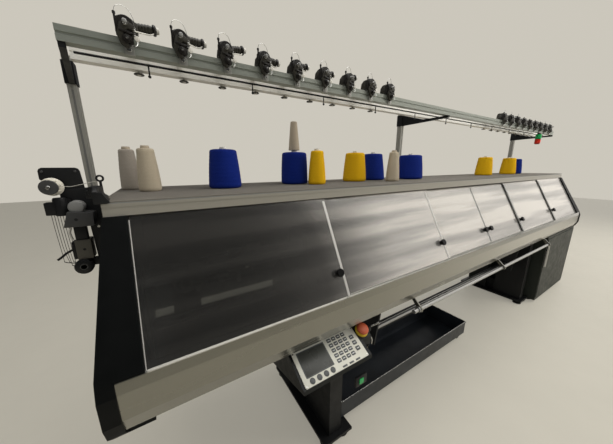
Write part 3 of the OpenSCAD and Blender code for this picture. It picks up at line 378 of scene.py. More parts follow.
class Kit:
    """Gathers shaped parts, given in the drawing's millimetres, into one mesh piece."""

    def __init__(self, name, local=None):
        self.name = name
        self.local = local
        self.whole = bmesh.new()
        self.mats = []

    def add(self, verts, faces, mat, bevel=0.0):
        shape = bmesh.new()
        if self.local is not None:
            verts = [self.local @ v for v in verts]
        corners = [shape.verts.new(v) for v in verts]
        for face in faces:
            shape.faces.new([corners[i] for i in face])
        bmesh.ops.recalc_face_normals(shape, faces=shape.faces[:])
        if bevel:
            edges = [e for e in shape.edges if len(e.link_faces) == 2 and e.calc_face_angle(0) > SHARP_EDGE]
            bmesh.ops.bevel(shape, geom=edges, offset=bevel / 1000, segments=BEVEL_STEPS, affect="EDGES",
                            profile=BEVEL_PROFILE, clamp_overlap=True)
        if mat not in self.mats:
            self.mats.append(mat)
        for face in shape.faces:
            face.material_index = self.mats.index(mat)
            face.smooth = True
        mesh = bpy.data.meshes.new("shape")
        shape.to_mesh(mesh)
        shape.free()
        self.whole.from_mesh(mesh)
        bpy.data.meshes.remove(mesh)

    def box(self, low, high, mat, bevel=1.0, turn=None):
        """A box, turned by degrees about its own middle where turn is given."""
        corners = [point(x, y, z) for x in (low[0], high[0]) for y in (low[1], high[1])
                   for z in (low[2], high[2])]
        if turn:
            middle = (corners[0] + corners[7]) / 2
            rotation = Euler([math.radians(a) for a in turn]).to_matrix()
            corners = [middle + rotation @ (v - middle) for v in corners]
        self.add(corners, BOX_FACES, mat, bevel)

    def prism(self, outline, plane, start, end, mat, bevel=1.0):
        n = len(outline)
        put = {"YZ": lambda p, t: point(t, p[0], p[1]), "XZ": lambda p, t: point(p[0], t, p[1]),
               "XY": lambda p, t: point(p[0], p[1], t)}[plane]
        verts = [put(p, start) for p in outline] + [put(p, end) for p in outline]
        faces = [tuple(range(n)), tuple(range(2 * n - 1, n - 1, -1))]
        faces += [(i, (i + 1) % n, n + (i + 1) % n, n + i) for i in range(n)]
        self.add(verts, faces, mat, bevel)

    def lathe(self, profile, place, axis, mat, sides=32):
        """Turns a profile of (radius, height), whose height runs along the axis from the place."""
        start = point(*place)
        along = Vector(axis).normalized()
        across = along.orthogonal().normalized()
        other = along.cross(across)
        verts = [start + along * (height / 1000) + (across * c + other * s) * (radius / 1000)
                 for radius, height in profile for c, s in circle(sides)]
        faces = ring_faces(len(profile), sides)
        if profile[0][0] > 0.01:
            faces.append(tuple(range(sides)))
        if profile[-1][0] > 0.01:
            faces.append(tuple(range((len(profile) - 1) * sides, len(profile) * sides)))
        self.add(verts, faces, mat)

    def rod(self, start, end, radius, mat, sides=20, ease=0.8):
        """A round bar with eased ends."""
        along = point(*end) - point(*start)
        length = along.length * 1000
        cut = min(ease, radius * 0.5, length * 0.3)
        profile = [(radius - cut, 0), (radius, cut), (radius, length - cut), (radius - cut, length)]
        self.lathe(profile, start, along, mat, sides)

    def tube(self, places, radius, mat, sides=8, steps=6):
        """A bent bar on a smooth curve through the places."""
        self.sweep(smooth_route([point(*p) for p in places], steps), radius, mat, sides)

    def sweep(self, route, radius, mat, sides):
        """A round bar along a route of points in metres."""
        last = len(route) - 1
        verts = []
        across = None
        for i, centre in enumerate(route):
            along = (route[min(i + 1, last)] - route[max(i - 1, 0)]).normalized()
            if across is None:
                across = along.orthogonal().normalized()
            else:
                across = (across - along * across.dot(along)).normalized()
            other = along.cross(across)
            verts += [centre + (across * c + other * s) * (radius / 1000) for c, s in circle(sides)]
        faces = ring_faces(len(route), sides)
        faces += [tuple(range(sides)), tuple(range(last * sides, (last + 1) * sides))]
        self.add(verts, faces, mat)

    def spring(self, start, end, radius, wire, turns, mat):
        first, along = point(*start), point(*end) - point(*start)
        across = along.normalized().orthogonal().normalized()
        other = along.normalized().cross(across)
        steps = turns * SPRING_STEPS
        route = []
        for i in range(steps + 1):
            t = 2 * math.pi * i / SPRING_STEPS
            out = across * math.cos(t) + other * math.sin(t)
            route.append(first + along * (i / steps) + out * (radius / 1000))
        self.sweep(route, wire, mat, SPRING_SIDES)

    def done(self, body=FRAME_BODY, replaces=(), angle=38):
        mesh = bpy.data.meshes.new(self.name)
        self.whole.to_mesh(mesh)
        self.whole.free()
        for mat in self.mats:
            mesh.materials.append(mat)
        mesh.set_sharp_from_angle(angle=math.radians(angle))
        ob = bpy.data.objects.new(self.name, mesh)
        scene.collection.objects.link(ob)
        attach(ob, body)
        if replaces:
            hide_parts(*replaces)


# Yarn tension units on the overhead rails
UNIT_FIRST, UNIT_PITCH, UNITS_PER_SIDE = 783, 157, 9
UNIT_PLATE = 6
BARREL_LEANS = (0.08, -0.1, 0.16, 0.0)
BARREL_LENGTH, BARREL_RIBS, RIB_PITCH = 64, 6, 9


def tension_unit(kit, x, lean):
    """One unit; its outlines and places are given from the front rail's face and the plate's top."""
    z = RAIL_TOP + UNIT_PLATE
    black, olive, white = looks["unit_black"], looks["dark_olive"], looks["white_plastic"]
    steel, grey = looks["bright_steel"], looks["barrel_grey"]

    def at(a, b, c):
        return (x + a, RAIL_FACE + b, z + c)

    # Bracket: a folded plate over the front rail and back to the rear rail, with two screws
    back = REAR_RAIL_Y + 12
    bracket = [(RAIL_FACE - 7, RAIL_LOW - 6), (RAIL_FACE, RAIL_LOW - 6), (RAIL_FACE, RAIL_TOP),
               (back, RAIL_TOP), (back, z), (RAIL_FACE - 7, z)]
    kit.prism(bracket, "YZ", x - 14, x + 14, looks["alu_profile"], 1.0)
    kit.rod(at(0, -11, -42), at(0, -6, -42), 6, steel, 12)
    kit.rod((x, REAR_RAIL_Y, z - 1), (x, REAR_RAIL_Y, z + 5), 7, steel, 6)

    # Cast body and the block at its side
    body = [(-18, 0), (16, 0), (30, 16), (33, 42), (16, 56), (-6, 60), (-22, 40), (-26, 16)]
    kit.prism(moved(body, x, z), "XZ", RAIL_FACE + 2, RAIL_FACE + 52, olive, 4.0)
    block = [(-30, 4), (-16, 0), (-8, 30), (-14, 54), (-28, 46)]
    kit.prism(moved(block, x, z), "XZ", RAIL_FACE - 10, RAIL_FACE + 14, black, 3.0)

    # Disc brake on the front, with its spring and nut
    discs = [(9, 0), (9, 8), (25, 9), (26, 10.5), (25, 12), (10, 12.6), (10, 14), (23, 14.6), (24.5, 16.2),
             (23, 17.8), (7, 18.4), (7, 22)]
    kit.lathe(discs, at(-2, 3, 30), FORWARD, black, 28)
    kit.spring(at(-2, -19, 30), at(-2, -29, 30), 6.5, 0.9, 4, steel)
    kit.lathe([(0, 0), (5, 0), (6.5, 2), (6.5, 6), (4, 8), (0, 8)], at(-2, -28, 30), FORWARD, grey, 18)

    # Ribbed barrel, its pale cap and the lead from there
    ribs = [(9, 0), (13, 2)]
    for i in range(BARREL_RIBS):
        up = i * RIB_PITCH
        ribs += [(13, 4 + up), (14.5, 5 + up), (14.5, 10 + up), (13, 11 + up)]
    ribs += [(13, BARREL_LENGTH - 2), (9, BARREL_LENGTH)]
    along = Vector((math.cos(lean), 0, math.sin(lean)))
    end = Vector(at(12, 50, 50)) + along * BARREL_LENGTH
    kit.lathe(ribs, at(12, 50, 50), along, olive, 20)
    kit.lathe([(0, 0), (15, 0), (17, 2), (17, 7), (14, 10), (0, 11)], end, along, black, 20)
    kit.lathe([(0, 0), (9, 0), (11, 2), (10, 9), (0, 10)], end + along * 10, along, white, 14)
    kit.tube([end + Vector((2, -6, -12)), end + Vector((-8, -26, -26)), end + Vector((-26, -34, -30)),
              at(20, -14, 14)], 2.2, white, 8)

    # Feeler stick and its spring wire
    kit.rod(at(-26, -2, -4), at(-27, -4, 58), 3.2, black, 10)
    kit.lathe([(0, 0), (4.5, 1), (4.5, 7), (2, 9), (0, 9)], at(-27, -4, 54), UP, black, 12)
    kit.tube([at(-27, -4, 60), at(-22, -4, 76), at(-6, 0, 85), at(12, 6, 80), at(22, 10, 60),
              at(24, 12, 44)], 0.9, steel, 6)

    # Front castings that hang over the rail's face: a hooked arm, a clip and a guide disc
    arm = [(-28, -4), (-20, -30), (-4, -40), (3, -34), (-10, -18), (-8, 4), (4, 16), (20, 12), (24, 26),
           (6, 38), (-16, 32)]
    kit.prism(moved(arm, x, z), "XZ", RAIL_FACE - 19, RAIL_FACE - 8, olive, 2.0)
    clip = [(6, -30), (17, -22), (14, -4), (24, 2), (20, 12), (2, 6), (-3, -14)]
    kit.prism(moved(clip, x, z), "XZ", RAIL_FACE - 16, RAIL_FACE - 8, black, 1.5)
    guide = [(4, 0), (12, 1), (13, 2.5), (12, 4), (5, 5), (5, 7), (9, 8), (9, 10), (3, 11)]
    kit.lathe(guide, at(-1, -19, -14), FORWARD, black, 22)
    kit.lathe([(0, 0), (3, 0), (4, 1), (3, 3), (0, 3.4)], at(-1, -30, -14), FORWARD, steel, 12)
    kit.tube([at(4, -20, -30), at(14, -26, -36), at(24, -22, -28), at(26, -16, -14)], 1.4, steel, 6)
    kit.spring(at(18, -18, -4), at(22, -18, 22), 4.0, 0.8, 5, steel)

    # Small lever and a guide below the disc brake
    kit.box(at(-20, -22, 2), at(12, -8, 9), black, 2.0, (0, 12, 0))
    kit.rod(at(10, -16, 8), at(26, -16, -8), 3, black, 10)
    kit.lathe([(4, 0), (8, 1), (8, 5), (4, 6)], at(26, -14, -8), FORWARD, white, 14)

    # Eyelet under the rear rail
    eye = (x + 16, REAR_RAIL_Y, RAIL_LOW - 14)
    kit.rod((eye[0], eye[1], RAIL_LOW - 8), (eye[0], eye[1], RAIL_LOW), 4, steel, 12)
    kit.lathe([(3.5, 0), (17, 0.5), (18, 2.5), (15, 5), (5, 6)], eye, UP, black, 24)
    kit.lathe([(3.2, -1), (6, -2), (7, 0), (5, 2)], eye, UP, white, 14)


def tension_units():
    kit = Kit("tension_units_piece")
    for side in (-1, 1):
        for i in range(UNITS_PER_SIDE):
            tension_unit(kit, side * (UNIT_FIRST + UNIT_PITCH * i), BARREL_LEANS[i % len(BARREL_LEANS)])
    kit.done(replaces=["tension_units"])


# Signal lamp under the front rail
LAMP_X = 1800
LENS_RIBS, LENS_RIB_PITCH = 8, 6


def signal_lamp():
    kit = Kit("signal_lamp_piece")
    black = looks["black_paint"]

    def turned(profile, up, mat, sides=32):
        kit.lathe(profile, (LAMP_X, FRONT_RAIL_Y, RAIL_LOW + up), UP, mat, sides)

    lens = [(24, 0)]
    for i in range(LENS_RIBS):
        up = i * LENS_RIB_PITCH
        lens += [(27, 1.5 + up), (27, 4.5 + up), (25.6, 6 + up)]
    lens.append((20, 50))
    turned([(8, 0), (15, 1), (15, 11), (8, 12)], -12, black, 24)
    turned(lens, -62, looks["lens_green"])
    turned([(22, 0), (25, 0.5), (25, 3.5), (22, 4)], -66, black)
    turned(lens, -116, looks["lens_red"])
    turned([(12, 0), (20, 0.8), (20, 6), (16, 6)], -122, black)
    kit.done(replaces=["signal_lamp"])


# Side feeder at the left end
MAST_Y = 205
feed_low, feed_high = drawn_box("feed_wheel")
FEED_X, FEED_Y, FEED_Z = (feed_low[0] + feed_high[0]) / 2, feed_low[1], (feed_low[2] + feed_high[2]) / 2
WIRES, WIRE_PITCH = 6, 7
RING_STEPS = 28


def feeder_mast(kit):
    """Mast on the end cap with its screws, and the back plate with eased corners."""
    black = looks["motor_black"]
    mast = [(-2229, 1041), (-2194, 1041), (-2164, 1312), (-2211, 1352), (-2295, 1352), (-2295, 1291),
            (-2237, 1263)]
    kit.prism(mast, "XZ", MAST_Y + 1, MAST_Y + 32, black, 3.0)
    for z in (1060, 1150, 1215):
        kit.rod((-2212, MAST_Y - 2, z), (-2212, MAST_Y + 2, z), 5, looks["bright_steel"], 6, 0.5)
    plate = [(-2336, 1384), (-2335.5, 1410), (-2332, 1417), (-2325, 1420.5), (-2246, 1420.5),
             (-2238, 1417), (-2234.5, 1409), (-2230, 1347), (-2301, 1347)]
    kit.prism(plate, "XZ", MAST_Y + 8.5, MAST_Y + 15.5, black, 1.5)
    for x in (-2246, -2326):
        kit.rod((x, MAST_Y + 5, 1408), (x, MAST_Y + 9, 1408), 3.5, looks["mid_grey"], 12, 0.6)


def feeder_motors(kit):
    black, grey = looks["motor_black"], looks["mid_grey"]
    # Upper motor behind the plate, its boss and the wheel's shaft
    kit.lathe([(24, 0), (28, 3), (28, 40), (27, 43), (27, 60), (22, 63)], (FEED_X, MAST_Y + 16, FEED_Z),
              BACKWARD, black)
    kit.lathe([(10, 0), (16, 1), (16, 5), (8, 6)], (FEED_X, MAST_Y + 9, FEED_Z), FORWARD, grey, 28)
    kit.rod((FEED_X, MAST_Y + 9, FEED_Z), (FEED_X, FEED_Y - 7, FEED_Z), 5.8, looks["bright_steel"], 16)
    # Small motor and switch below the wheel
    kit.lathe([(15, 0), (17.5, 2), (17.5, 54), (15, 59)], (-2294, MAST_Y - 15, 1265.5), UP, black, 28)
    kit.box((-2331, MAST_Y - 28, 1269), (-2306, MAST_Y - 2, 1311), black, 4.0)
    kit.box((-2306, MAST_Y - 10, 1270), (-2272, MAST_Y + 4, 1318), black, 3.0)
    # Second motor: a pale barrel in a dark trapezoid bracket
    barrel = [(15, 0), (19, 2), (20.8, 6), (20.8, 30), (19, 32), (19, 60), (20.8, 62), (20.8, 110),
              (17, 114)]
    kit.lathe(barrel, (-2253, MAST_Y - 44, 1293), BACKWARD, looks["barrel_grey"])
    bracket = [(-2275, 1281), (-2210, 1274), (-2213, 1228), (-2291, 1229)]
    kit.prism(bracket, "XZ", MAST_Y - 54, MAST_Y + 19, grey, 4.0)
    kit.rod((-2256, MAST_Y - 54.6, 1254), (-2256, MAST_Y - 50, 1254), 5, black, 16)


def feeder_sensor(kit):
    black, warm = looks["motor_black"], looks["warm_grey"]
    # Neck, sensor box and its lever
    kit.box((-2277, MAST_Y - 19, 1176), (-2243, MAST_Y + 5, 1229), black, 5.0)
    kit.tube([(-2282, MAST_Y - 17, 1222), (-2287, MAST_Y - 18, 1204), (-2284, MAST_Y - 16, 1180)], 3.4,
             looks["white_plastic"], 10)
    kit.box((-2281, MAST_Y - 24, 1107), (-2237, MAST_Y + 24, 1177), warm, 4.0)
    kit.box((-2289.5, MAST_Y - 22, 1110), (-2280, MAST_Y + 20, 1172), black, 3.0)
    kit.rod((-2258, MAST_Y - 24.6, 1143), (-2258, MAST_Y - 21, 1143), 4.5, black, 14)
    kit.tube([(-2290, MAST_Y - 18, 1145), (-2306, MAST_Y - 19, 1136), (-2322, MAST_Y - 20, 1123),
              (-2331, MAST_Y - 20, 1117)], 3.6, black, 10)
    # Feeler disc and the lower clamp
    disc = [(8, 0), (22, 1), (26.5, 4), (26.5, 20), (23, 24), (23, 29), (16, 30)]
    kit.lathe(disc, (-2267, MAST_Y - 35, 1083), BACKWARD, black)
    kit.lathe([(0, -0.6), (11, -0.6), (12.5, 1), (11, 3), (0, 3)], (-2267, MAST_Y - 34.4, 1083), BACKWARD,
              looks["mid_grey"], 24)
    kit.box((-2281, MAST_Y - 9, 1076), (-2222, MAST_Y + 11, 1104), black, 3.0)
    kit.lathe([(0, -1), (4, -1), (5, 1), (5, 10), (0, 11)], (-2214, MAST_Y - 9, 1098), BACKWARD,
              looks["bright_steel"], 16)


def feeder_corner(kit):
    """Bracket over the shelf's corner, with the yarn ring."""
    black = looks["motor_black"]
    kit.box((-2190, 25, 1342), (-2163, 95, 1365), black, 3.0)
    kit.box((-2209, 92, 1326), (-2183, MAST_Y + 9, 1350), black, 3.0)
    side = [(-13.5, 1318), (-4.8, 1318), (-4.8, 1326), (24, 1326), (24, 1365), (10, 1365), (-13.5, 1353)]
    kit.prism(side, "YZ", -2175, -2163, black, 2.0)
    front = [(-2175.5, 1352), (-2153, 1350), (-2138, 1320), (-2148, 1317), (-2175.5, 1318)]
    kit.prism(front, "XZ", -13.6, -5.2, black, 1.6)
    top = [(-2175.5, 1352), (-2153, 1350), (-2141, 1326.5), (-2175.5, 1326.5)]
    kit.prism(top, "XZ", -6, 23, black, 1.6)
    kit.rod((-2162, 60, 1364), (-2162, 60, 1379), 3.4, black, 12)
    turns = [2 * math.pi * i / RING_STEPS for i in range(RING_STEPS + 1)]
    ring = [point(-2162 + 8 * math.cos(a), 60, 1388 + 8 * math.sin(a)) for a in turns]
    kit.sweep(ring, 2.9, black, 10)


def feeder_wires(kit):
    """Spring wires that hang below the wheel, with small dark ends, and the thread to the ring."""
    for i in range(WIRES):
        x = -2330 + i * WIRE_PITCH
        y = 232 + (i * 53 % 30)
        z = 1094 - (i * 37 % 26)
        kit.tube([(x, 220, 1300), (x - 1, 226, 1220), (x, 232, 1140), (x + 1, y, z)], 0.8,
                 looks["mid_grey"], 5)
        kit.tube([(x + 1, y, z), (x + 8, y - 4, z - 3), (x + 19, y - 8, z - 5)], 1.5,
                 looks["motor_black"], 6, 3)
    kit.tube([(-2282, 176, 1366), (-2250, 140, 1362), (-2190, 84, 1376), (-2163, 61, 1381)], 0.9,
             looks["white_plastic"], 6)


def side_feeder():
    kit = Kit("side_feeder_piece")
    feeder_mast(kit)
    feeder_motors(kit)
    feeder_sensor(kit)
    feeder_corner(kit)
    feeder_wires(kit)
    kit.done(replaces=["side_feeder"])


def feed_wheel():
    kit = Kit("feed_wheel_piece")
    cream, centre = looks["wheel_cream"], (FEED_X, FEED_Y, FEED_Z)
    front = [(6.1, 0), (21.5, 0), (23, 1.5), (23, 5), (21.5, 6), (6.1, 6)]
    kit.lathe(front, centre, BACKWARD, looks["mid_grey"], 36)
    drum = [(6.1, 6), (19, 7), (21, 10), (21, 26), (27, 31), (28.8, 33), (28.8, 36), (28, 37.8),
            (6.1, 37.8)]
    kit.lathe(drum, centre, BACKWARD, cream, 36)
    # Pins on which the yarn lies
    for i in range(8):
        a = math.radians(45 * i + 10)
        x, z = FEED_X + 22.5 * math.cos(a), FEED_Z + 22.5 * math.sin(a)
        kit.rod((x, FEED_Y + 8, z), (x, FEED_Y + 31, z), 2.2, cream, 10)
    kit.lathe([(0, -2.2), (3.6, -2.2), (4.6, -1), (4.6, 1), (0, 1)], centre, BACKWARD,
              looks["motor_black"], 18)
    kit.done(body="feed_wheel_body", replaces=["feed_wheel"])


# Wound cones on the shelf
CONE_HEIGHT = 172
CONE_RINGS = 26
# Height of the rounded foot, and of the foot and the shoulder together
CONE_FOOT, CONE_ENDS = 16, 34


def cone(kit, x, y, low, high, height, mat, tube):
    """A yarn cone with its tube, from its lower and upper diameter."""
    a, b = low / 2, high / 2
    profile = [(a * 0.84, 0), (a * 0.95, 3), (a * 0.995, 9), (a, CONE_FOOT)]
    for i in range(1, CONE_RINGS):
        t = i / CONE_RINGS
        uneven = 1.2 * math.sin(t * math.pi) + 0.35 * math.sin(i * 1.9 + x)
        profile.append((a + (b - a) * t + uneven, CONE_FOOT + (height - CONE_ENDS) * t))
    profile += [(b, height - 14), (b * 0.975, height - 6), (b * 0.9, height - 1.5),
                (b * 0.78, height + 0.4), (b * 0.5, height - 1.5), (18, height - 3), (16.6, height - 4)]
    kit.lathe(profile, (x, y, SHELF_TOP), UP, mat, 56)
    rim = [(16.8, height - 24), (16.4, height + 2), (14.8, height + 10), (14, height + 11.6),
           (12.6, height + 11.4), (12.2, height - 20)]
    kit.lathe(rim, (x, y, SHELF_TOP), UP, tube)


def cones(name, node, rows, tube, spare=None):
    """Cones of one kind: place, lower and upper diameter, extra height and material of each."""
    kit = Kit(name)
    for x, y, low, high, extra, mat in rows:
        cone(kit, x, y, low, high, CONE_HEIGHT + extra, looks[mat], looks[tube])
    if spare:
        spare(kit)
    kit.done(replaces=[node], angle=60)


def spare_tube(kit):
    """An empty paper tube that stands on a blue cone's rim."""
    profile = [(29, 0), (31, 0.6), (30.6, 6), (18.4, 140), (17, 149), (15.4, 150), (14.6, 148), (27, 4)]
    kit.lathe(profile, (-1338, 330, SHELF_TOP + CONE_HEIGHT + 12.2), UP, looks["paper"], 40)


def all_cones():
    blue = ((-1740, 275, 146, 120, 0), (-1338, 330, 150, 138, 0), (-680, 360, 170, 130, 8),
            (-352, 290, 190, 160, 3), (1720, 330, 160, 130, 0))
    yellow = ((-1258, 218, 97, 70, 5), (-899, 309, 150, 122, 7), (879, 300, 150, 122, 7),
              (1469, 300, 150, 122, 7))
    pale = ((-2112, 420, 76, 58, -2, "yarn_grey"), (-2040, 289, 82, 62, -4, "yarn_pale"),
            (-698, 165, 84, 58, 10, "yarn_pale"))
    cones("blue_yarn", "blue_cones", [(*row, "yarn_blue") for row in blue], "white_plastic")
    cones("yellow_yarn", "yellow_cones", [(*row, "yarn_yellow") for row in yellow],
          "white_plastic")
    cones("pale_yarn", "pale_cones", pale, "paper", spare_tube)


# Windows: they lean back from the beam to the shelf in three planes
WINDOW_TOP, WINDOW_RUN, WINDOW_DROP = 1290, 214, 409
WINDOW_TILT = math.atan2(WINDOW_RUN, WINDOW_DROP)
WINDOW_LENGTH = math.hypot(WINDOW_RUN, WINDOW_DROP)
FIRST_PLANE, PLANE_PITCH = 8, 8
EDGE_LOW, EDGE_HIGH, EDGE_PROUD = 4, 436, 1.0


def on_window(x, plane, up, out):
    """A point up from the lower edge line of a window, and out from its outer face."""
    s, c = math.sin(WINDOW_TILT), math.cos(WINDOW_TILT)
    inward = FIRST_PLANE + plane * PLANE_PITCH - out
    along = up - WINDOW_LENGTH
    return point(x, c * inward + s * along, WINDOW_TOP - s * inward + c * along)


def pane_edges():
    """Sawn edges of the windows: bright on the left half, and on the right half a dark grey of painted
    shade, as those edges are turned from the light.
    """
    left = (("a", 0, ((-2104, -2101), (-1381, -1369))), ("b", 1, ((-588, -576),)), ("c", 2, ((-8, -3),)))
    right = (("a", 0, ((1368, 1388), (2098, 2104))), ("b", 1, ((563, 582),)), ("c", 2, ((3, 7),)))
    for side, rows, mat in (("left", left, looks["pane_edge"]), ("right", right, looks["painted_shade_grey"])):
        for letter, plane, edges in rows:
            kit = Kit("pane_edge_%s_%s" % (letter, side))
            for ends in edges:
                corners = [on_window(x, plane, up, out) for x in ends for up in (EDGE_LOW, EDGE_HIGH)
                           for out in (0, EDGE_PROUD)]
                kit.add(corners, BOX_FACES, mat, 0.4)
            kit.done(body="window_%s_%s" % (letter, side))


# Console, whose top leans to the front
CONSOLE_Y, CONSOLE_Z, CONSOLE_TILT = -150, 670, 28
PLATE_X, PLATE_LENGTH, PLATE_DEPTH = -1635, 325, 140
STOP_X, STOP_UP = -1270, -36
PLATE_FACE = 3.5
BAR_HEIGHT = 2.8
CORNER_STEPS = 5


def round_rect(x0, y0, x1, y1, r):
    corners = ((x1 - r, y1 - r, 0), (x0 + r, y1 - r, 90), (x0 + r, y0 + r, 180), (x1 - r, y0 + r, 270))
    outline = []
    for x, y, first in corners:
        for i in range(CORNER_STEPS + 1):
            a = math.radians(first + 90 * i / CORNER_STEPS)
            outline.append((x + r * math.cos(a), y + r * math.sin(a)))
    return outline


def on_console(x):
    """Frame of the console's top, from x to the right and up the slope."""
    return (Matrix.Translation(point(x, CONSOLE_Y, CONSOLE_Z))
            @ Matrix.Rotation(math.radians(CONSOLE_TILT), 4, "X") @ Matrix.Translation(-point(0, 0, 0)))


def key(kit, x, y, width, depth, bar):
    """A dark key with a pale bar in place of its sign, given by how far it stands in and up."""
    kit.prism(round_rect(x, y, x + width, y + depth, 3), "XY", PLATE_FACE, 5.0, looks["key_dark"], 0.5)
    inset, up = bar
    sign = round_rect(x + inset, y + up, x + width - inset, y + up + BAR_HEIGHT, 1)
    kit.prism(sign, "XY", 4.9, 5.2, looks["key_white"], 0.1)


def key_panel():
    kit = Kit("key_panel", on_console(PLATE_X))
    dark, grey = looks["key_dark"], looks["mid_grey"]
    kit.prism(round_rect(0, -PLATE_DEPTH, PLATE_LENGTH, -2, 6), "XY", 0, 3.6, looks["key_grey"], 0.8)
    # Screen: bezel and glass
    kit.prism(round_rect(18, -110, 154, -10, 4), "XY", PLATE_FACE, 4.4, dark, 0.5)
    kit.prism(round_rect(23, -105, 149, -15, 2), "XY", 4.2, 4.7, looks["screen_dark"], 0.2)
    # Four round keys under it
    for i in range(4):
        centre = (37 + 33 * i, -124, PLATE_FACE)
        kit.lathe([(11, 0), (11.5, 0.4), (11.5, 1), (10, 1.1)], centre, UP, grey, 20)
        kit.lathe([(9.5, 0), (9.5, 1.2), (8, 1.8), (0, 2)], centre, UP, dark, 20)
    # Keypad of four by five, a column of three beside it and three flat keys below
    for column in range(4):
        for row in range(5):
            key(kit, 172 + 26 * column, -25 - 22 * row, 20, 16, (4, 6.6))
    for row in range(3):
        key(kit, 284, -52 - 26 * row, 22, 18, (5, 7.6))
    for i in range(3):
        kit.prism(round_rect(182 + 36 * i, -136, 206 + 36 * i, -129, 1.5), "XY", PLATE_FACE, 4.2, dark, 0.2)
    # Screws in the corners
    for x, y in ((6, -8), (319, -8), (6, -134), (319, -134)):
        kit.lathe([(3.4, 0), (3.2, 1), (2, 1.5), (0, 1.4)], (x, y, 3.4), UP, looks["bright_steel"], 14)
    kit.done(replaces=["key_plate", "display_screen"])


def stop_button():
    kit = Kit("stop_collar", on_console(STOP_X))
    collar = [(11.4, 1), (11.4, 7.4), (13, 8), (28, 7.6), (31.3, 5.6), (31.3, 0)]
    kit.lathe(collar, (0, STOP_UP, 0), UP, looks["stop_yellow"], 48)
    kit.done(replaces=["stop_base"])
    kit = Kit("stop_head", on_console(STOP_X))
    head = [(0, 7), (11, 7), (11, 14), (25, 14.5), (28.2, 16), (29, 18.4), (29, 21.6), (27.8, 25), (24, 28),
            (17, 30.2), (8, 31.3), (0, 31.5)]
    kit.lathe(head, (0, STOP_UP, 0), UP, looks["stop_red"], 48)
    kit.done(body="stop_button_body", replaces=["stop_button"])


def start_switch():
    """Lever switch on the console's right side, with its lead and a lower plunger."""
    steel, black = looks["bright_steel"], looks["black_paint"]
    kit = Kit("start_switch")
    kit.box((-1234, -196, 640), (-1216, -164, 668), black, 3.0)
    kit.rod((-1218, -182, 655), (-1176, -198, 668), 4.5, steel, 14)
    kit.lathe([(4, 0), (7, 1), (7, 9), (4, 11)], (-1176, -198, 668), (0.92, -0.35, 0.28), steel, 16)
    kit.box((-1234, -180, 590), (-1219, -150, 622), looks["warm_grey"], 3.0)
    kit.tube([(-1226, -170, 592), (-1219, -178, 570), (-1206, -176, 548), (-1213, -168, 527)], 4.0,
             black, 10)
    kit.tube([(-1214, -176, 610), (-1200, -190, 584), (-1200, -190, 556)], 2.6, steel, 8)
    kit.lathe([(0, 0), (7, 1), (8, 5), (5, 8), (0, 9)], (-1213, -168, 530), DOWN, looks["brass"], 16)
    kit.done()


def main_switch():
    """Lit main switch below the console."""
    kit = Kit("main_switch")
    kit.box((-1366, -262, 446), (-1300, -250.5, 496), looks["black_paint"], 3.0)
    kit.prism(round_rect(-1348, 458, -1322, 484, 4), "XZ", -266, -261.5, looks["lens_green"], 1.2)
    kit.done()


def tray_hem():
    """Rolled hem along the fabric tray's top."""
    kit = Kit("tray_hem")
    low, high = drawn_box("fabric_tray")
    left, right, front, back = low[0] + 2, high[0] - 2, low[1] + 3, high[1] - 4
    corners = [(left, front), (right, front), (right, back), (left, back)]
    for start, end in zip(corners, corners[1:] + corners[:1]):
        kit.rod((*start, high[2]), (*end, high[2]), 2.0, looks["bright_steel"], 10, 0.3)
    kit.done()


def post_slots():
    """Slots down the front and the back of the creel posts, drawn as thin strips of painted shade on their
    faces.
    """
    kit = Kit("post_slots")
    for x in (-2270, -130, 2270):
        for y in (558.2, 596.2):
            kit.box((x - 3.6, y, 715), (x + 3.6, y + 0.7, 1740), looks["painted_shade_grey"], 0.2)
    kit.done()


tension_units()
signal_lamp()
side_feeder()
feed_wheel()
all_cones()
pane_edges()
key_panel()
stop_button()
start_switch()
main_switch()
tray_hem()
post_slots()


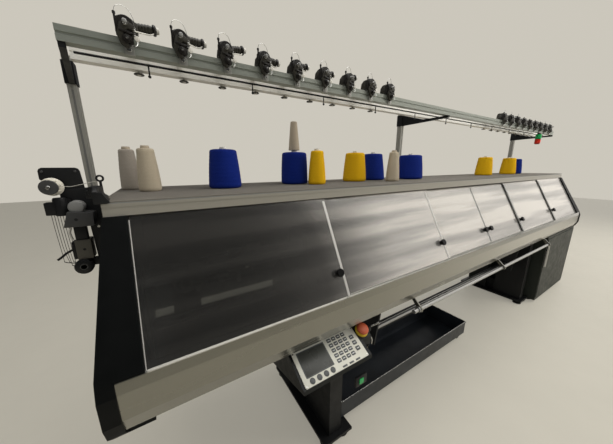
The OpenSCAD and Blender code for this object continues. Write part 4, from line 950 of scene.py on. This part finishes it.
# Light and floor
def studio():
    """Pale surroundings; gloss sees a dark room behind the operator and a bright one to the right."""
    world = bpy.data.worlds.new("studio")
    scene.world = world
    world.use_nodes = True
    tree = world.node_tree
    tree.nodes.clear()
    out = add_node(tree, "OutputWorld", {})
    path = add_node(tree, "LightPath", {})
    direction = add_node(tree, "TexCoord", {}).outputs["Generated"]
    toward_right = add_node(tree, "SeparateXYZ", {0: direction}).outputs[0]
    side = add_node(tree, "MapRange", {"From Min": 0.25, "From Max": 0.85, 0: toward_right},
                    interpolation_type="SMOOTHSTEP")
    room = ramp(tree, side.outputs[0], [(0.0, (0.035, 0.035, 0.035)), (0.5, (0.25, 0.242, 0.225)),
                                        (1.0, (1.0, 0.96, 0.9))])
    gloss = add_node(tree, "Background", {0: room})
    plain = add_node(tree, "Background", {0: (0.62, 0.61, 0.58, 1), 1: 0.6})
    seen = add_node(tree, "Background", {0: (0.6, 0.57, 0.5, 1), 1: 1.0})
    lit = mix_shaders(tree, path.outputs["Is Glossy Ray"], plain, gloss)
    rays = {0: path.outputs["Is Camera Ray"], 1: path.outputs["Is Transmission Ray"]}
    direct = add_node(tree, "Math", rays, operation="MAXIMUM").outputs[0]
    feed(tree, out, {0: mix_shaders(tree, direct, lit, seen).outputs[0]})


def area(name, place, aim, size, power, color, glossy):
    light = bpy.data.lights.new(name, "AREA")
    light.shape = "RECTANGLE"
    light.size, light.size_y = size
    light.energy = power
    light.color = color
    ob = bpy.data.objects.new(name, light)
    ob.location = place
    ob.rotation_euler = (Vector(aim) - Vector(place)).to_track_quat("-Z", "Y").to_euler()
    ob.visible_glossy = glossy
    scene.collection.objects.link(ob)


FLOOR_HALF = 14
# Share of its own even tone that the floor shows to the camera
FLOOR_EVEN = 0.4


def floor():
    mesh = bpy.data.meshes.new("floor")
    s = FLOOR_HALF
    mesh.from_pydata([(-s, -s, 0), (s, -s, 0), (s, s, 0), (-s, s, 0)], [], [(0, 1, 2, 3)])
    ob = bpy.data.objects.new("floor", mesh)
    scene.collection.objects.link(ob)
    mat = surface("floor_pale", (0.56, 0.53, 0.45), 0.4, tone=0.04, grain=300, relief=0.05, depth=0.0003)
    tree = mat.node_tree
    shader = [n for n in tree.nodes if n.type == "BSDF_PRINCIPLED"][0]
    path = add_node(tree, "LightPath", {})
    share = add_node(tree, "Math", {0: path.outputs["Is Camera Ray"], 1: FLOOR_EVEN}, operation="MULTIPLY")
    even = add_node(tree, "Emission", {0: (0.58, 0.55, 0.47, 1)})
    show(tree, mix_shaders(tree, share.outputs[0], shader, even))
    mesh.materials.append(mat)


studio()
area("key", (5.5, -3.2, 3.6), (0.3, 0, 0.8), (4.0, 2.6), 260, (1, 0.98, 0.94), False)
area("top", (-0.5, -0.6, 4.2), (-0.2, 0.1, 0), (6.0, 2.5), 120, (1, 0.98, 0.95), True)
area("front", (-3.4, -3.6, 2.6), (-0.8, 0, 0.8), (3.0, 2.0), 14, (0.96, 0.98, 1), False)
floor()

scene.view_settings.view_transform = "Standard"
